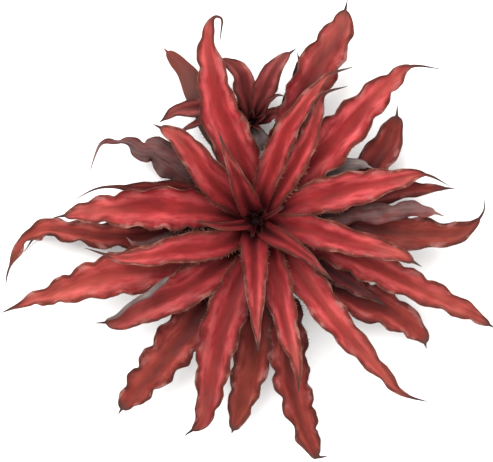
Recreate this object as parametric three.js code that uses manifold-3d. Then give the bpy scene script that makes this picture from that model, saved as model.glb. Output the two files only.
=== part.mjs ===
// Red earth star: a rosette of waved, channelled leaves on a short stem, with one offset beside its heart.
// Millimetres, +Z up. The origin is the middle of the flat cut face under the stem.

import * as THREE from 'three';
import { mergeVertices } from 'three/addons/utils/BufferGeometryUtils.js';
import Module from 'manifold-3d';

// Stem, from the cut face up, as [radius, height]
const STEM_PROFILE = [[8, 0], [9.2, 1.5], [9.2, 26], [7.4, 33], [4.6, 39], [2.8, 43]];
const STEM_TOP = 44;
const STEM_SIDES = 20;

// Offset: a young plant at the end of a runner from the stem
const OFFSET_PLACE = [67, 92];
const OFFSET_PROFILE = [[2.6, 7], [4, 9], [4, 22], [2, 26]];
const OFFSET_TOP = 27;
const OFFSET_SIDES = 14;
const RUNNER_RIB = [[4, 91, 7], [22, 91, 8], [45, 92, 8], [67, 92, 11]];
const RUNNER_RADIUS = 2.4;
const RUNNER_SIDES = 10;
const RUNNER_STEPS = 14;

// Blades
const THICKNESS = 1.1;
const TAIL_WIDTH = 2.4;
const TIP_WIDTH = 1.0;
const ROOT_GAP = 0.35;
const CHANNEL = 0.75;
const ROOT_CHANNEL_SHARE = 0.35;
const PLAIN_TAIL = 0.06;
const STATIONS_PER_WAVE = 3.4;
const PLAIN_STATIONS = 8;
const MOST_STATIONS = 34;
const OUTWARD_SHARE = 0.8;
const NOTCH = 0.04;
const LOBE_MEAN = 1.25;
const OUTWARD_LAG = 0.8;
const LEAF_PHASE = 2.4;
const SIDE_PHASE = 1.9;
const WANDER = 0.8;
const WANDER_TURNS = 1.7;

// One row a leaf. root is [azimuth, height] on the stem, and rib the midrib's other points as [radius,
// azimuth, height]. clasp is the width at the root, width the widest, belly the share of the length where
// that is, taper how early the blade narrows after it (under 1 late, over 1 early) and tail the share that is
// a thin spine. waves is the count along an edge and ruffle their height. channel is how far the edges turn
// up, in radians. roll turns the blade about its midrib, [at the root, at the tip] in degrees.
const WHORLS = [
  {
    name: 'heart_leaf', colour: 0x8e3340, leaves: [
      { root: [255, 42], rib: [[6, 254, 46], [11, 256, 51]],
        clasp: 2.6, width: 3.4, belly: 0.3, taper: 1, waves: 0, ruffle: 0 },
      { root: [22, 41.5], rib: [[8, 23, 46], [15, 26, 50], [21, 28, 52]],
        clasp: 2.6, width: 3.6, belly: 0.3, taper: 1, waves: 0, ruffle: 0 },
      { root: [194, 39.5], rib: [[9, 196, 45], [24, 188, 57], [39, 180, 66]],
        clasp: 7, width: 8.5, belly: 0.2, taper: 1, waves: 0, ruffle: 0, channel: 1.1 },
      { root: [113, 37.5], rib: [[11, 114, 48], [26, 114, 70], [44, 114, 90], [62, 113, 104]],
        clasp: 14, width: 18.5, belly: 0.25, taper: 1.1, waves: 3, ruffle: 0.4, channel: 1.1, tail: 0.1 },
      { root: [316, 38], rib: [[12, 318, 47], [27, 325, 59], [42, 325, 69], [64, 322, 78]],
        clasp: 11, width: 14.5, belly: 0.26, taper: 1.1, waves: 3, ruffle: 0.3, tail: 0.1 },
      { root: [264, 34.2], rib: [[14, 265, 44], [32, 269, 58], [59, 270, 74], [85, 271, 83]],
        clasp: 14.2, width: 20, belly: 0.2, taper: 0.95, waves: 4, ruffle: 0.6 },
    ],
  },
  {
    name: 'upper_leaf', colour: 0xc24a50, leaves: [
      { root: [77, 32.8],
        rib: [[21, 77, 42.6], [48, 73, 59], [70, 70, 69], [93, 66, 77], [107, 63, 80], [118, 58, 80]],
        clasp: 12, width: 18.5, belly: 0.35, taper: 0.85, waves: 6, ruffle: 0.8, tail: 0.1 },
      { root: [53, 29.5],
        rib: [[19, 54, 37], [39, 55, 47], [60, 57, 56], [79, 60, 62], [94, 62, 65], [107, 56, 64]],
        clasp: 13.5, width: 18, belly: 0.35, taper: 0.85, waves: 6, ruffle: 0.8, tail: 0.12 },
      { root: [139, 29.5],
        rib: [[14, 139, 36], [30, 137, 47], [48, 135, 56], [65, 133, 63], [79, 133.8, 67], [93, 136.8, 68]],
        clasp: 10.4, width: 24, belly: 0.4, taper: 0.5, waves: 5, ruffle: 0.7 },
      { root: [221, 31],
        rib: [[16, 221, 38], [34, 208, 47], [53, 200, 55], [73, 198, 61], [93, 195, 65], [114, 189, 65]],
        clasp: 13.5, width: 22, belly: 0.35, taper: 0.8, waves: 5, ruffle: 0.8, tail: 0.13 },
      { root: [296, 29.6],
        rib: [[19, 296, 37.6], [38, 289, 47], [60, 287, 55], [82, 286, 61], [99, 286, 63], [116, 284, 63]],
        clasp: 11.4, width: 22, belly: 0.35, taper: 0.8, waves: 5, ruffle: 0.9 },
      { root: [350, 32.8],
        rib: [[18, 350, 41], [36, 350, 49], [57, 348, 57], [77, 347.3, 63], [97, 346.7, 66],
          [113, 344.6, 65]],
        clasp: 13, width: 22.5, belly: 0.35, taper: 0.52, waves: 5, ruffle: 0.9 },
    ],
  },
  {
    name: 'middle_leaf', colour: 0xb84046, leaves: [
      { root: [97, 26],
        rib: [[29, 100, 35.5], [50, 105.5, 42], [72, 108, 47], [85, 108, 48.5], [101, 106.6, 49.5],
          [118, 105.8, 49], [131, 104, 48.4], [138.5, 101.6, 47], [136.5, 99.6, 45], [129, 100.4, 42.5],
          [121, 101.6, 40]],
        clasp: 12, width: 31, belly: 0.32, taper: 0.84, waves: 7, ruffle: 1.6, tail: 0.15 },
      { root: [162, 28],
        rib: [[31, 167, 38], [51, 171, 43], [70, 173.2, 47], [90, 175.1, 49], [107, 176.2, 49],
          [135, 179, 46]],
        clasp: 12, width: 30.5, belly: 0.42, taper: 0.64, waves: 7, ruffle: 1.8, tail: 0.06 },
      { root: [258, 27],
        rib: [[25, 257, 35], [47, 253.5, 41], [68, 252, 46], [90, 252.7, 49], [122, 255, 50.5],
          [138, 254.8, 50], [151, 251.5, 48]],
        clasp: 9.4, width: 29.5, belly: 0.46, taper: 0.6, waves: 8, ruffle: 1.5, tail: 0.05 },
      { root: [28, 25.5],
        rib: [[19, 26, 32], [38, 22, 39.5], [59, 19, 45], [100, 16.5, 51], [117, 15.2, 52], [131, 10.2, 51]],
        clasp: 12, width: 27, belly: 0.42, taper: 0.8, waves: 6, ruffle: 1.2, tail: 0.14 },
      { root: [312, 25.5],
        rib: [[24, 312, 34.6], [44, 310.6, 42], [86, 308.8, 51], [127, 309.7, 54], [150, 310.4, 53],
          [166, 313.6, 51]],
        clasp: 9.5, width: 24, belly: 0.32, taper: 0.95, waves: 7, ruffle: 1.5, tail: 0.08 },
      { root: [241.6, 24],
        rib: [[26, 238.8, 31.4], [43, 230, 36.4], [62, 223.8, 42], [99, 216.8, 47], [114, 215.4, 47],
          [127, 212.4, 45]],
        clasp: 10.4, width: 29, belly: 0.5, taper: 0.4, waves: 6, ruffle: 1.0, tail: 0.06, roll: [0, -35] },
      { root: [50, 20],
        rib: [[32, 49.5, 32], [54, 47.6, 38], [77, 46.2, 43], [109, 46.3, 47], [128, 46.1, 48],
          [146, 44.8, 48], [160, 39.3, 46]],
        clasp: 8.4, width: 32.5, belly: 0.38, taper: 0.7, waves: 8, ruffle: 2.2, tail: 0.13 },
    ],
  },
  {
    name: 'spreading_leaf', colour: 0xa53a40, leaves: [
      { root: [222, 20.5],
        rib: [[28, 221, 26.6], [51, 211, 30.6], [77, 203.6, 33], [111, 199.9, 35], [140, 199.5, 34.5],
          [160, 199.3, 34], [182, 199.8, 32]],
        clasp: 8, width: 34, belly: 0.46, taper: 1.2, waves: 9, ruffle: 1.9, roll: [0, -15], tail: 0.04 },
      { root: [335, 19.5],
        rib: [[32, 337, 28], [65, 339.6, 34], [110, 337.8, 38], [149, 337, 37], [176.2, 335.9, 33]],
        clasp: 8, width: 24, belly: 0.44, taper: 0.57, waves: 8, ruffle: 1.9, tail: 0.03 },
      { root: [75, 13],
        rib: [[31, 74, 26], [59, 72, 32], [95, 68.6, 36], [118, 67.4, 37], [140, 66.3, 36.5],
          [161.2, 67.5, 34]],
        clasp: 8, width: 29.5, belly: 0.7, taper: 0.5, waves: 8, ruffle: 2.2, tail: 0.05 },
      { root: [280, 20.5],
        rib: [[39, 284.6, 28], [66, 287.2, 32], [92, 283.5, 34], [110, 282.4, 34.5], [130, 282.9, 34],
          [150, 283.5, 32], [164, 284.6, 31], [166, 287, 30]],
        clasp: 8, width: 28, belly: 0.5, taper: 0.4, waves: 9, ruffle: 2.4, tail: 0.04, roll: [0, -15] },
      { root: [239, 14.5],
        rib: [[36, 240.5, 23.2], [64, 240, 27.2], [112, 236.1, 31], [147, 234.5, 30], [160, 234.5, 29]],
        clasp: 8, width: 34, belly: 0.5, taper: 0.42, waves: 9, ruffle: 2.8, tail: 0.03 },
      { root: [150, 22],
        rib: [[25, 152, 27], [51, 157, 31], [73, 162.9, 34], [105, 167.5, 36], [123, 173.2, 34]],
        clasp: 7, width: 14, belly: 0.45, taper: 1.4, waves: 5, ruffle: 0.8, tail: 0.24 },
      { root: [359, 15.5],
        rib: [[29, 359, 23], [62, 357, 28], [105, 355.8, 32], [131, 356.5, 33], [140, 357.8, 33],
          [147, 359.5, 32.5], [153.2, 2.4, 32], [154.8, 5.6, 31]],
        clasp: 8, width: 26.5, belly: 0.54, taper: 0.68, waves: 6, ruffle: 1.8, roll: [0, 15], tail: 0.09 },
      { root: [6, 22], rib: [[29, 5, 30], [62, 3, 38.4], [92, 4, 44], [114, 3.4, 44.4], [126, 1.5, 42.5]],
        clasp: 5, width: 13, belly: 0.76, taper: 0.45, waves: 4, ruffle: 2.6, roll: [180, 180] },
    ],
  },
  {
    name: 'lower_leaf', colour: 0x8a343a, leaves: [
      { root: [270, 12.5],
        rib: [[27, 270, 18.5], [59, 271, 22], [85, 269.4, 23], [130, 264.9, 20], [145, 263.5, 18]],
        clasp: 8, width: 30, belly: 0.52, taper: 0.5, waves: 8, ruffle: 1.5, tail: 0.02 },
      { root: [139, 11.5],
        rib: [[30, 137, 17], [66, 144, 21.5], [83, 145.5, 23], [91, 148, 23], [100, 148.3, 22],
          [108, 150, 21], [115.5, 152, 20], [118, 155.8, 18], [118, 163.8, 14]],
        clasp: 8, width: 28, belly: 0.42, taper: 2.6, waves: 7, ruffle: 2.3, tail: 0.16, roll: [180, 160] },
      { root: [14, 9], rib: [[30, 14, 15], [64, 13.4, 18.5], [106, 11.7, 19], [138, 9.4, 16]],
        clasp: 7, width: 18, belly: 0.5, taper: 0.8, waves: 5, ruffle: 1.2 },
      { root: [187, 11.5],
        rib: [[27, 187, 17], [77, 187.4, 20], [110, 184.6, 20], [138, 182.2, 19.5], [151, 183, 18.5],
          [160, 185.7, 17.5], [167.4, 189.2, 16], [172.8, 192, 14.5], [176.4, 194.8, 13]],
        clasp: 7, width: 19, belly: 0.48, taper: 0.9, waves: 8, ruffle: 2.6, tail: 0.08, roll: [0, 25] },
      { root: [317, 13],
        rib: [[40, 317.5, 20.5], [68, 320.6, 22], [90, 323.7, 22], [108, 326.2, 21], [134, 325.8, 18],
          [145, 323.3, 17]],
        clasp: 8, width: 28.5, belly: 0.6, taper: 0.5, waves: 7, ruffle: 2.2, tail: 0.03 },
      { root: [23, 12.5],
        rib: [[31, 21, 20], [61, 20.4, 24.5], [80, 23.2, 25.5], [91, 27, 25.5], [103, 30.8, 25],
          [116, 35.4, 23], [124, 39.2, 21]],
        clasp: 7, width: 24, belly: 0.72, taper: 0.45, waves: 5, ruffle: 1.4 },
      { root: [112, 17], rib: [[40, 113.6, 22], [70, 114.4, 21], [110, 115.2, 18], [133.5, 118, 16]],
        clasp: 7, width: 19.5, belly: 0.6, taper: 0.42, waves: 5, ruffle: 0.8, tail: 0.03, roll: [180, 170] },
      { root: [199, 16.5], rib: [[28, 197, 24.5], [51, 193, 30], [72, 193, 31], [83, 191, 30], [88, 187, 29]],
        clasp: 6, width: 12, belly: 0.6, taper: 0.5, waves: 4, ruffle: 1.2, roll: [180, 150] },
    ],
  },
  {
    name: 'withered_leaf', colour: 0x7a4a46, leaves: [
      { root: [37, 18.6],
        rib: [[33, 37, 27], [52, 36, 33.4], [67, 33, 36.8], [79, 29, 36], [87, 24, 32]],
        clasp: 5, width: 15, belly: 0.6, taper: 0.5, waves: 4, ruffle: 1, roll: [180, 180] },
      { root: [76, 11],
        rib: [[25, 77, 13], [49, 76, 14], [79, 73.8, 14], [102, 73.8, 13], [112, 74.6, 12],
          [119, 76.2, 10]],
        clasp: 6, width: 12, belly: 0.6, taper: 0.5, waves: 5, ruffle: 1, roll: [180, 200] },
      { root: [321, 16.6], rib: [[30, 324, 24], [60, 326.4, 30], [84, 326.8, 30.6], [105, 327, 28]],
        clasp: 5, width: 13, belly: 0.6, taper: 0.9, waves: 5, ruffle: 1, channel: 0.3 },
      { root: [225, 11], rib: [[38, 225, 14], [67, 219, 14], [85, 217, 13], [96, 213, 10]],
        clasp: 6, width: 14, belly: 0.6, taper: 0.5, waves: 4, ruffle: 1, roll: [180, 180] },
      { root: [181, 7.5],
        rib: [[27, 181, 10], [64, 187, 10], [97, 185.8, 8], [145, 183.4, 4], [161, 187.5, 1]],
        clasp: 5, width: 10, belly: 0.5, taper: 0.8, waves: 6, ruffle: 0.8, tail: 0.12 },
      { root: [270, 8], rib: [[30, 272, 9], [60, 276, 8], [90, 279, 4.5], [110, 281, 1]],
        clasp: 7, width: 16, belly: 0.5, taper: 0.7, waves: 5, ruffle: 1.2 },
    ],
  },
];

const OFFSET_LEAVES = {
  name: 'offset_leaf', colour: 0x6e2c38, leaves: [
    { root: [73, 22],
      rib: [[11, 73, 27], [22, 69.5, 32], [30, 69, 35.6], [38, 67, 38.5], [46, 64.4, 40], [57, 58.8, 40]],
      clasp: 5.5, width: 17.5, belly: 0.45, taper: 0.7, waves: 3, ruffle: 0.7, tail: 0.1 },
    { root: [108, 18],
      rib: [[10, 104, 22], [22, 102.6, 27], [32, 102.4, 30], [40.5, 109.5, 31], [49, 118, 31]],
      clasp: 5, width: 17, belly: 0.45, taper: 0.7, waves: 3, ruffle: 0.7 },
    { root: [88, 13.5], rib: [[11, 88, 16], [21, 95, 19], [33, 102, 21], [45, 108, 21]],
      clasp: 4, width: 9, belly: 0.4, taper: 0.8, waves: 3, ruffle: 0.5 },
    { root: [138, 16], rib: [[12, 139, 20], [23, 147, 23], [36, 164, 25], [51, 171, 25], [63, 180, 23]],
      clasp: 5, width: 15.5, belly: 0.45, taper: 0.75, waves: 4, ruffle: 0.7 },
    { root: [168, 20], rib: [[12, 168, 26], [25, 173, 30], [37, 181, 33], [49, 188, 34]],
      clasp: 5, width: 8.5, belly: 0.4, taper: 0.9, waves: 3, ruffle: 0.5 },
    { root: [12, 18.5], rib: [[8, 16, 22.6], [15, 23, 27], [21, 24, 29], [26, 20, 29]],
      clasp: 5, width: 9, belly: 0.45, taper: 0.7, waves: 2, ruffle: 0.6 },
    { root: [300, 19], rib: [[8, 298, 23], [14, 291, 26], [21, 282, 27]],
      clasp: 5, width: 14, belly: 0.5, taper: 0.5, waves: 2, ruffle: 0.6, roll: [180, 180] },
    { root: [44, 23.5], rib: [[8, 46, 30], [16, 51, 39], [23, 47, 44.5], [27, 38, 45.5]],
      clasp: 3.6, width: 5, belly: 0.4, taper: 0.8, waves: 2, ruffle: 0.3, tail: 0.15 },
  ],
};

const STEM_COLOUR = 0x6b4a3a;

const wasm = await Module();
wasm.setup();

// A point given as [radius, azimuth in degrees, height].
function polarPoint([radius, azimuth, height]) {
  const angle = THREE.MathUtils.degToRad(azimuth);
  return new THREE.Vector3(radius * Math.cos(angle), radius * Math.sin(angle), height);
}

// The radius of a turned profile at a height, straight between its points.
function profileRadius(profile, height) {
  const above = profile.findIndex(([, level]) => level >= height);
  const [lowRadius, low] = profile[above - 1];
  const [highRadius, high] = profile[above];
  return THREE.MathUtils.mapLinear(height, low, high, lowRadius, highRadius);
}

// The midrib of a leaf, a smooth curve from just off the stem through the points of its row.
function midrib(leaf, profile) {
  const [azimuth, height] = leaf.root;
  const start = profileRadius(profile, height) + ROOT_GAP + THICKNESS / 2;
  const points = [[start, azimuth, height], ...leaf.rib].map(polarPoint);
  return new THREE.CatmullRomCurve3(points, false, 'catmullrom');
}

// Half the blade's width at a share of its length: it swells from the root to the belly, narrows to the tail
// and ends in a thin spine.
function halfWidth(leaf, share) {
  const tail = leaf.tail ?? PLAIN_TAIL;
  const end = 1 - tail;
  if (share < leaf.belly) {
    const swell = THREE.MathUtils.smoothstep(share, -0.05, leaf.belly);
    return THREE.MathUtils.lerp(leaf.clasp, leaf.width, swell) / 2;
  }
  if (share > end) {
    return THREE.MathUtils.lerp(TAIL_WIDTH, TIP_WIDTH, (share - end) / tail) / 2;
  }
  const past = (share - leaf.belly) / (end - leaf.belly);
  const fullness = Math.pow(1 - past * past, leaf.taper) * (1 - past / 4);
  return THREE.MathUtils.lerp(TAIL_WIDTH, leaf.width, fullness) / 2;
}

// How far an edge stands up and out at a share of the length. The waves wander a little and differ by side.
// Outwards they are round lobes with narrow notches between.
function ruffle(leaf, index, side, share) {
  const onset = THREE.MathUtils.smoothstep(share, 0.08, 0.35);
  const tail = leaf.tail ?? PLAIN_TAIL;
  const fade = THREE.MathUtils.smoothstep(share, 0.88 - tail, 1 - 0.6 * tail);
  const height = leaf.ruffle * onset * (1 - fade);
  const start = LEAF_PHASE * index + SIDE_PHASE * side;
  const wander = WANDER * Math.sin(2 * Math.PI * WANDER_TURNS * share + start);
  const phase = 2 * Math.PI * leaf.waves * share + start + wander;
  const lobe = 2 * Math.sqrt(Math.cos((phase + OUTWARD_LAG) / 2) ** 2 + NOTCH) - LOBE_MEAN;
  return { up: height * Math.sin(phase), out: height * OUTWARD_SHARE * lobe };
}

// The three points of a blade's section at a station: left edge, midrib and right edge. The edges turn up on
// an arc, and their waves are added. The normal stands on the upper face.
function section(leaf, index, centres, row) {
  const share = row / (centres.length - 1);
  const before = centres[Math.max(row - 1, 0)];
  const after = centres[Math.min(row + 1, centres.length - 1)];
  const along = after.clone().sub(before).normalize();
  const level = new THREE.Vector3(0, 0, 1).cross(along).normalize();
  const [rootRoll, tipRoll] = leaf.roll ?? [0, 0];
  const roll = THREE.MathUtils.lerp(rootRoll, tipRoll, THREE.MathUtils.smoothstep(share, 0.3, 1));
  const left = level.applyAxisAngle(along, THREE.MathUtils.degToRad(roll));
  const normal = along.clone().cross(left);
  const half = halfWidth(leaf, share);
  const turn = THREE.MathUtils.lerp(ROOT_CHANNEL_SHARE, 1, THREE.MathUtils.smoothstep(share, 0, 0.2));
  const bend = (leaf.channel ?? CHANNEL) * turn;
  const points = [1, 0, -1].map((side) => {
    const wave = ruffle(leaf, index, side, share);
    return centres[row].clone()
      .addScaledVector(left, side * (half * Math.sin(bend) / bend + wave.out))
      .addScaledVector(normal, Math.abs(side) * (half * (1 - Math.cos(bend)) / bend + wave.up));
  });
  return { points, normal };
}

// One blade as a closed strip. Each station has three points on the upper face and three on the lower one,
// at the blade's thickness below. Both faces are split into like triangles, so they stay a thickness apart.
function bladeGeometry(leaf, index, profile) {
  const stations = Math.min(MOST_STATIONS, Math.round(STATIONS_PER_WAVE * leaf.waves) + PLAIN_STATIONS);
  const centres = midrib(leaf, profile).getSpacedPoints(stations);
  const positions = [];
  for (let row = 0; row <= stations; row += 1) {
    const { points, normal } = section(leaf, index, centres, row);
    for (const offset of [THICKNESS / 2, -THICKNESS / 2]) {
      points.forEach((point) => positions.push(...point.clone().addScaledVector(normal, offset).toArray()));
    }
  }
  const faces = [];
  const quad = (a, b, c, d) => faces.push(a, b, c, a, c, d);
  for (let near = 0; near < stations * 6; near += 6) {
    const far = near + 6;
    quad(near, near + 1, far + 1, far);
    quad(near + 1, near + 2, far + 2, far + 1);
    quad(near + 3, far + 3, far + 4, near + 4);
    quad(near + 4, far + 4, far + 5, near + 5);
    quad(near + 3, near, far, far + 3);
    quad(near + 2, near + 5, far + 5, far + 2);
  }
  const last = stations * 6;
  quad(0, 3, 4, 1);
  quad(1, 4, 5, 2);
  quad(last, last + 1, last + 4, last + 3);
  quad(last + 1, last + 2, last + 5, last + 4);
  const geometry = new THREE.BufferGeometry();
  geometry.setAttribute('position', new THREE.Float32BufferAttribute(positions, 3));
  geometry.setIndex(faces);
  return geometry;
}

// A closed geometry as a solid that can be joined to others.
function solidOf(geometry) {
  geometry.deleteAttribute('normal');
  geometry.deleteAttribute('uv');
  const merged = mergeVertices(geometry, 1e-4);
  const corners = merged.index.array;
  const faces = [];
  for (let k = 0; k < corners.length; k += 3) {
    const [a, b, c] = corners.slice(k, k + 3);
    if (a !== b && b !== c && c !== a) {
      faces.push(a, b, c);
    }
  }
  return new wasm.Manifold(new wasm.Mesh({
    numProp: 3,
    vertProperties: merged.attributes.position.array,
    triVerts: new Uint32Array(faces),
  }));
}

// A turned stem: the profile's points, closed on the axis at its foot and its top.
function turned(profile, top, sides) {
  const outline = [[0, profile[0][1]], ...profile, [0, top]].map(([x, y]) => new THREE.Vector2(x, y));
  const geometry = new THREE.LatheGeometry(outline, sides);
  geometry.rotateX(Math.PI / 2);
  return geometry;
}

// The grown stem of the plant, its runner and the stem of the offset, as one piece.
function stemMesh() {
  const runner = new THREE.ExtrudeGeometry(
    new THREE.Shape(new THREE.EllipseCurve(0, 0, RUNNER_RADIUS, RUNNER_RADIUS).getPoints(RUNNER_SIDES)),
    { steps: RUNNER_STEPS, extrudePath: new THREE.CatmullRomCurve3(RUNNER_RIB.map(polarPoint)) },
  );
  const offset = turned(OFFSET_PROFILE, OFFSET_TOP, OFFSET_SIDES);
  offset.translate(...polarPoint([...OFFSET_PLACE, 0]).toArray());
  const solid = solidOf(turned(STEM_PROFILE, STEM_TOP, STEM_SIDES)).add(solidOf(runner)).add(solidOf(offset));
  const { vertProperties, triVerts } = solid.getMesh();
  const geometry = new THREE.BufferGeometry();
  geometry.setAttribute('position', new THREE.Float32BufferAttribute(vertProperties, 3));
  geometry.setIndex([...triVerts]);
  const material = new THREE.MeshStandardMaterial({ color: STEM_COLOUR, roughness: 0.85 });
  const mesh = new THREE.Mesh(geometry, material);
  mesh.name = 'stem';
  return mesh;
}

// The leaves of one whorl, in a group. firstIndex carries the count of leaves on, so no two wave alike.
function whorl({ name, colour, leaves }, profile, firstIndex) {
  const group = new THREE.Group();
  leaves.forEach((leaf, k) => {
    const material = new THREE.MeshStandardMaterial({ color: colour, roughness: 0.5, metalness: 0 });
    const mesh = new THREE.Mesh(bladeGeometry(leaf, firstIndex + k, profile), material);
    mesh.name = `${name}_${k + 1}`;
    group.add(mesh);
  });
  return group;
}

const plant = new THREE.Group();
plant.add(stemMesh());
let count = 0;
for (const row of WHORLS) {
  plant.add(whorl(row, STEM_PROFILE, count));
  count += row.leaves.length;
}
const offsetPlant = whorl(OFFSET_LEAVES, OFFSET_PROFILE, count);
offsetPlant.position.copy(polarPoint([...OFFSET_PLACE, 0]));
plant.add(offsetPlant);

export default plant;
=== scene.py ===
"""Looks of the red earth star: a rosette of waved, toothed, striped leaves on a short stem, with one offset.

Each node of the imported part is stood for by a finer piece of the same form, and small sheaths that have no
node close both hearts. The rows of sizes are in millimetres and degrees, and each mesh is turned into metres
when it is made.
"""

import logging
from collections.abc import Sequence
from dataclasses import dataclass, field
from enum import Enum
from functools import reduce

import bpy
import numpy as np
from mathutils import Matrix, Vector


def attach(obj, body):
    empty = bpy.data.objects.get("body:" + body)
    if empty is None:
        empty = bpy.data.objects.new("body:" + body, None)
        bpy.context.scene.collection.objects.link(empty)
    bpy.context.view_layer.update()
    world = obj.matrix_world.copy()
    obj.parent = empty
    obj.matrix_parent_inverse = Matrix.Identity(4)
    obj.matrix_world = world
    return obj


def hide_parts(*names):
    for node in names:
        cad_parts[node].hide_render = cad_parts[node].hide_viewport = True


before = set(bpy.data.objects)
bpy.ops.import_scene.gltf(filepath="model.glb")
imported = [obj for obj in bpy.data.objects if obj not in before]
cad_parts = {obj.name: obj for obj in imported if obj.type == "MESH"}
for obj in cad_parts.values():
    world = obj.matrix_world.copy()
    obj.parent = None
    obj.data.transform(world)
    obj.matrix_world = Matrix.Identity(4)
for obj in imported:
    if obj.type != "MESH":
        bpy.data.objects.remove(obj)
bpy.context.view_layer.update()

LOG = logging.getLogger("red_earth_star")
Array = np.ndarray
Colour = tuple[int, int, int]
Socket = bpy.types.NodeSocket
Feed = Socket | float | tuple[float, ...]

MM = 0.001
CREASE = float(np.radians(52))
PATH_SAMPLES = 1600
STUDIO_LIGHT = 2.1
SHEEN = 0.06


def linear(colour: Colour, gain: float = 1.0) -> tuple[float, float, float, float]:
    """Turns a screen colour of 0 to 255, as seen in the studio, into the linear one that a shader takes.

    Each channel c of 0 to 1 becomes ((c + 0.055) / 1.055) to the power 2.4, or c / 12.92 when it is dark,
    and is divided by the strength of the studio's light.

    Args:
        colour: Red, green and blue from 0 to 255.
        gain: What the linear colour is multiplied by.

    Returns:
        Red, green, blue and a full alpha.
    """
    share = np.array(colour) / 255
    light = np.where(share > 0.04045, ((share + 0.055) / 1.055) ** 2.4, share / 12.92)
    red, green, blue = (float(part) for part in light * gain / STUDIO_LIGHT)
    return red, green, blue, 1.0


def smoothstep(value: Array, low: float, high: float) -> Array:
    """The curve 3t^2 - 2t^3 of t, the value's share of the way from low to high, held at 0 and 1 outside.

    Args:
        value: Any array.
        low: Where the curve leaves 0.
        high: Where it reaches 1.

    Returns:
        An array of the same shape.
    """
    t = np.clip((value - low) / (high - low), 0, 1)
    return t * t * (3 - 2 * t)


def lerp(low: Array | float, high: Array | float, share: Array | float) -> Array:
    """The value at a share of the way from low to high."""
    return low + (high - low) * share


def unit(vectors: Array) -> Array:
    """The same directions at length one."""
    return vectors / np.maximum(np.linalg.norm(vectors, axis=-1, keepdims=True), 1e-9)


def polar(rows: Array) -> Array:
    """Points of rows of radius, azimuth and height: the radius times the azimuth's cosine and sine."""
    angle = np.radians(rows[:, 1])
    return np.stack((rows[:, 0] * np.cos(angle), rows[:, 0] * np.sin(angle), rows[:, 2]), axis=1)


def walked(points: Array) -> Array:
    """The way gone along a row of points, from 0 at the first."""
    return np.concatenate(([0], np.cumsum(np.linalg.norm(np.diff(points, axis=0), axis=1))))


def read_at(places: Array, way: Array, rows: Array) -> Array:
    """Rows of x, y and z, one for each step of the way, read at places between the steps."""
    return np.stack([np.interp(places, way, rows[:, k]) for k in range(3)], axis=1)


def smooth_path(knots: Array, count: int) -> Array:
    """Points at equal steps along a smooth curve through the knots.

    Between two knots the curve is the cubic whose end tangents are half the way from the knot before each
    one to the knot after it. Beyond either end the last step is taken once more.

    Args:
        knots: Rows of x, y and z.
        count: How many points to give.

    Returns:
        Rows of x, y and z.
    """
    padded = np.vstack((2 * knots[0] - knots[1], knots, 2 * knots[-1] - knots[-2]))
    place = np.linspace(0, len(knots) - 1, PATH_SAMPLES)
    part = np.minimum(place.astype(int), len(knots) - 2)
    t = (place - part)[:, None]
    before, start, stop, after = (padded[part + k] for k in range(4))
    curve = (
        (2 * t**3 - 3 * t**2 + 1) * start
        + (t**3 - 2 * t**2 + t) * (stop - before) / 2
        + (3 * t**2 - 2 * t**3) * stop
        + (t**3 - t**2) * (after - start) / 2
    )
    way = walked(curve)
    return read_at(np.linspace(0, way[-1], count), way, curve)


class Face(Enum):
    """The finishes a leaf wears, in the order of its material slots."""

    UPPER = 0
    UNDER = 1
    HORN = 2


@dataclass
class Patch:
    """Part of a mesh: points in millimetres, four-sided faces, their finishes and the marks at each point."""

    points: Array
    quads: Array
    looks: Array
    marks: dict[str, Array]

    def joined(self, other: "Patch") -> "Patch":
        """Joins another patch to this one, each still closed by itself.

        Args:
            other: The patch that comes after this one.

        Returns:
            Both in one patch.
        """
        return Patch(
            np.vstack((self.points, other.points)),
            np.vstack((self.quads, other.quads + len(self.points))),
            np.concatenate((self.looks, other.looks)),
            {name: np.concatenate((mark, other.marks[name])) for name, mark in self.marks.items()},
        )

    def piece(self, name: str, materials: Sequence[bpy.types.Material]) -> bpy.types.Object:
        """Puts the patch into a new object at the origin, in metres.

        A face whose last two corners are the same is a triangle. Edges that turn more than the crease angle
        stay sharp.

        Args:
            name: The piece's name.
            materials: One material for each finish that the faces name.

        Returns:
            The object, in the scene.
        """
        sides = np.where(self.quads[:, 2] == self.quads[:, 3], 3, 4)
        keep = np.ones(self.quads.shape, bool)
        keep[:, 3] = sides == 4
        mesh = bpy.data.meshes.new(name)
        mesh.vertices.add(len(self.points))
        mesh.vertices.foreach_set("co", (self.points * MM).astype(np.float32).ravel())
        mesh.loops.add(int(sides.sum()))
        mesh.loops.foreach_set("vertex_index", self.quads[keep].astype(np.int32))
        mesh.polygons.add(len(sides))
        starts = np.concatenate(([0], np.cumsum(sides)[:-1]))
        mesh.polygons.foreach_set("loop_start", starts.astype(np.int32))
        mesh.polygons.foreach_set("material_index", self.looks.astype(np.int32))
        mesh.update(calc_edges=True)
        mesh.shade_smooth()
        mesh.set_sharp_from_angle(angle=CREASE)
        for mark_name, mark in self.marks.items():
            wide = mark.ndim == 2
            attribute = mesh.attributes.new(mark_name, "FLOAT_VECTOR" if wide else "FLOAT", "POINT")
            attribute.data.foreach_set("vector" if wide else "value", mark.astype(np.float32).ravel())
        for material in materials:
            mesh.materials.append(material)
        piece = bpy.data.objects.new(name, mesh)
        bpy.context.scene.collection.objects.link(piece)
        return piece


# A tooth's four sides from its base's corners 0 to 3 to its point 4, then its base
TOOTH_PLAN = np.array(((1, 0, 4, 4), (2, 1, 4, 4), (3, 2, 4, 4), (0, 3, 4, 4), (0, 1, 2, 3)))
TOOTH_POINTS = 5
# How deep a tooth's base is sunk and half its thickness, in millimetres
TOOTH_SINK = 0.22
TOOTH_HALF_THICKNESS = 0.24
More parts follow.
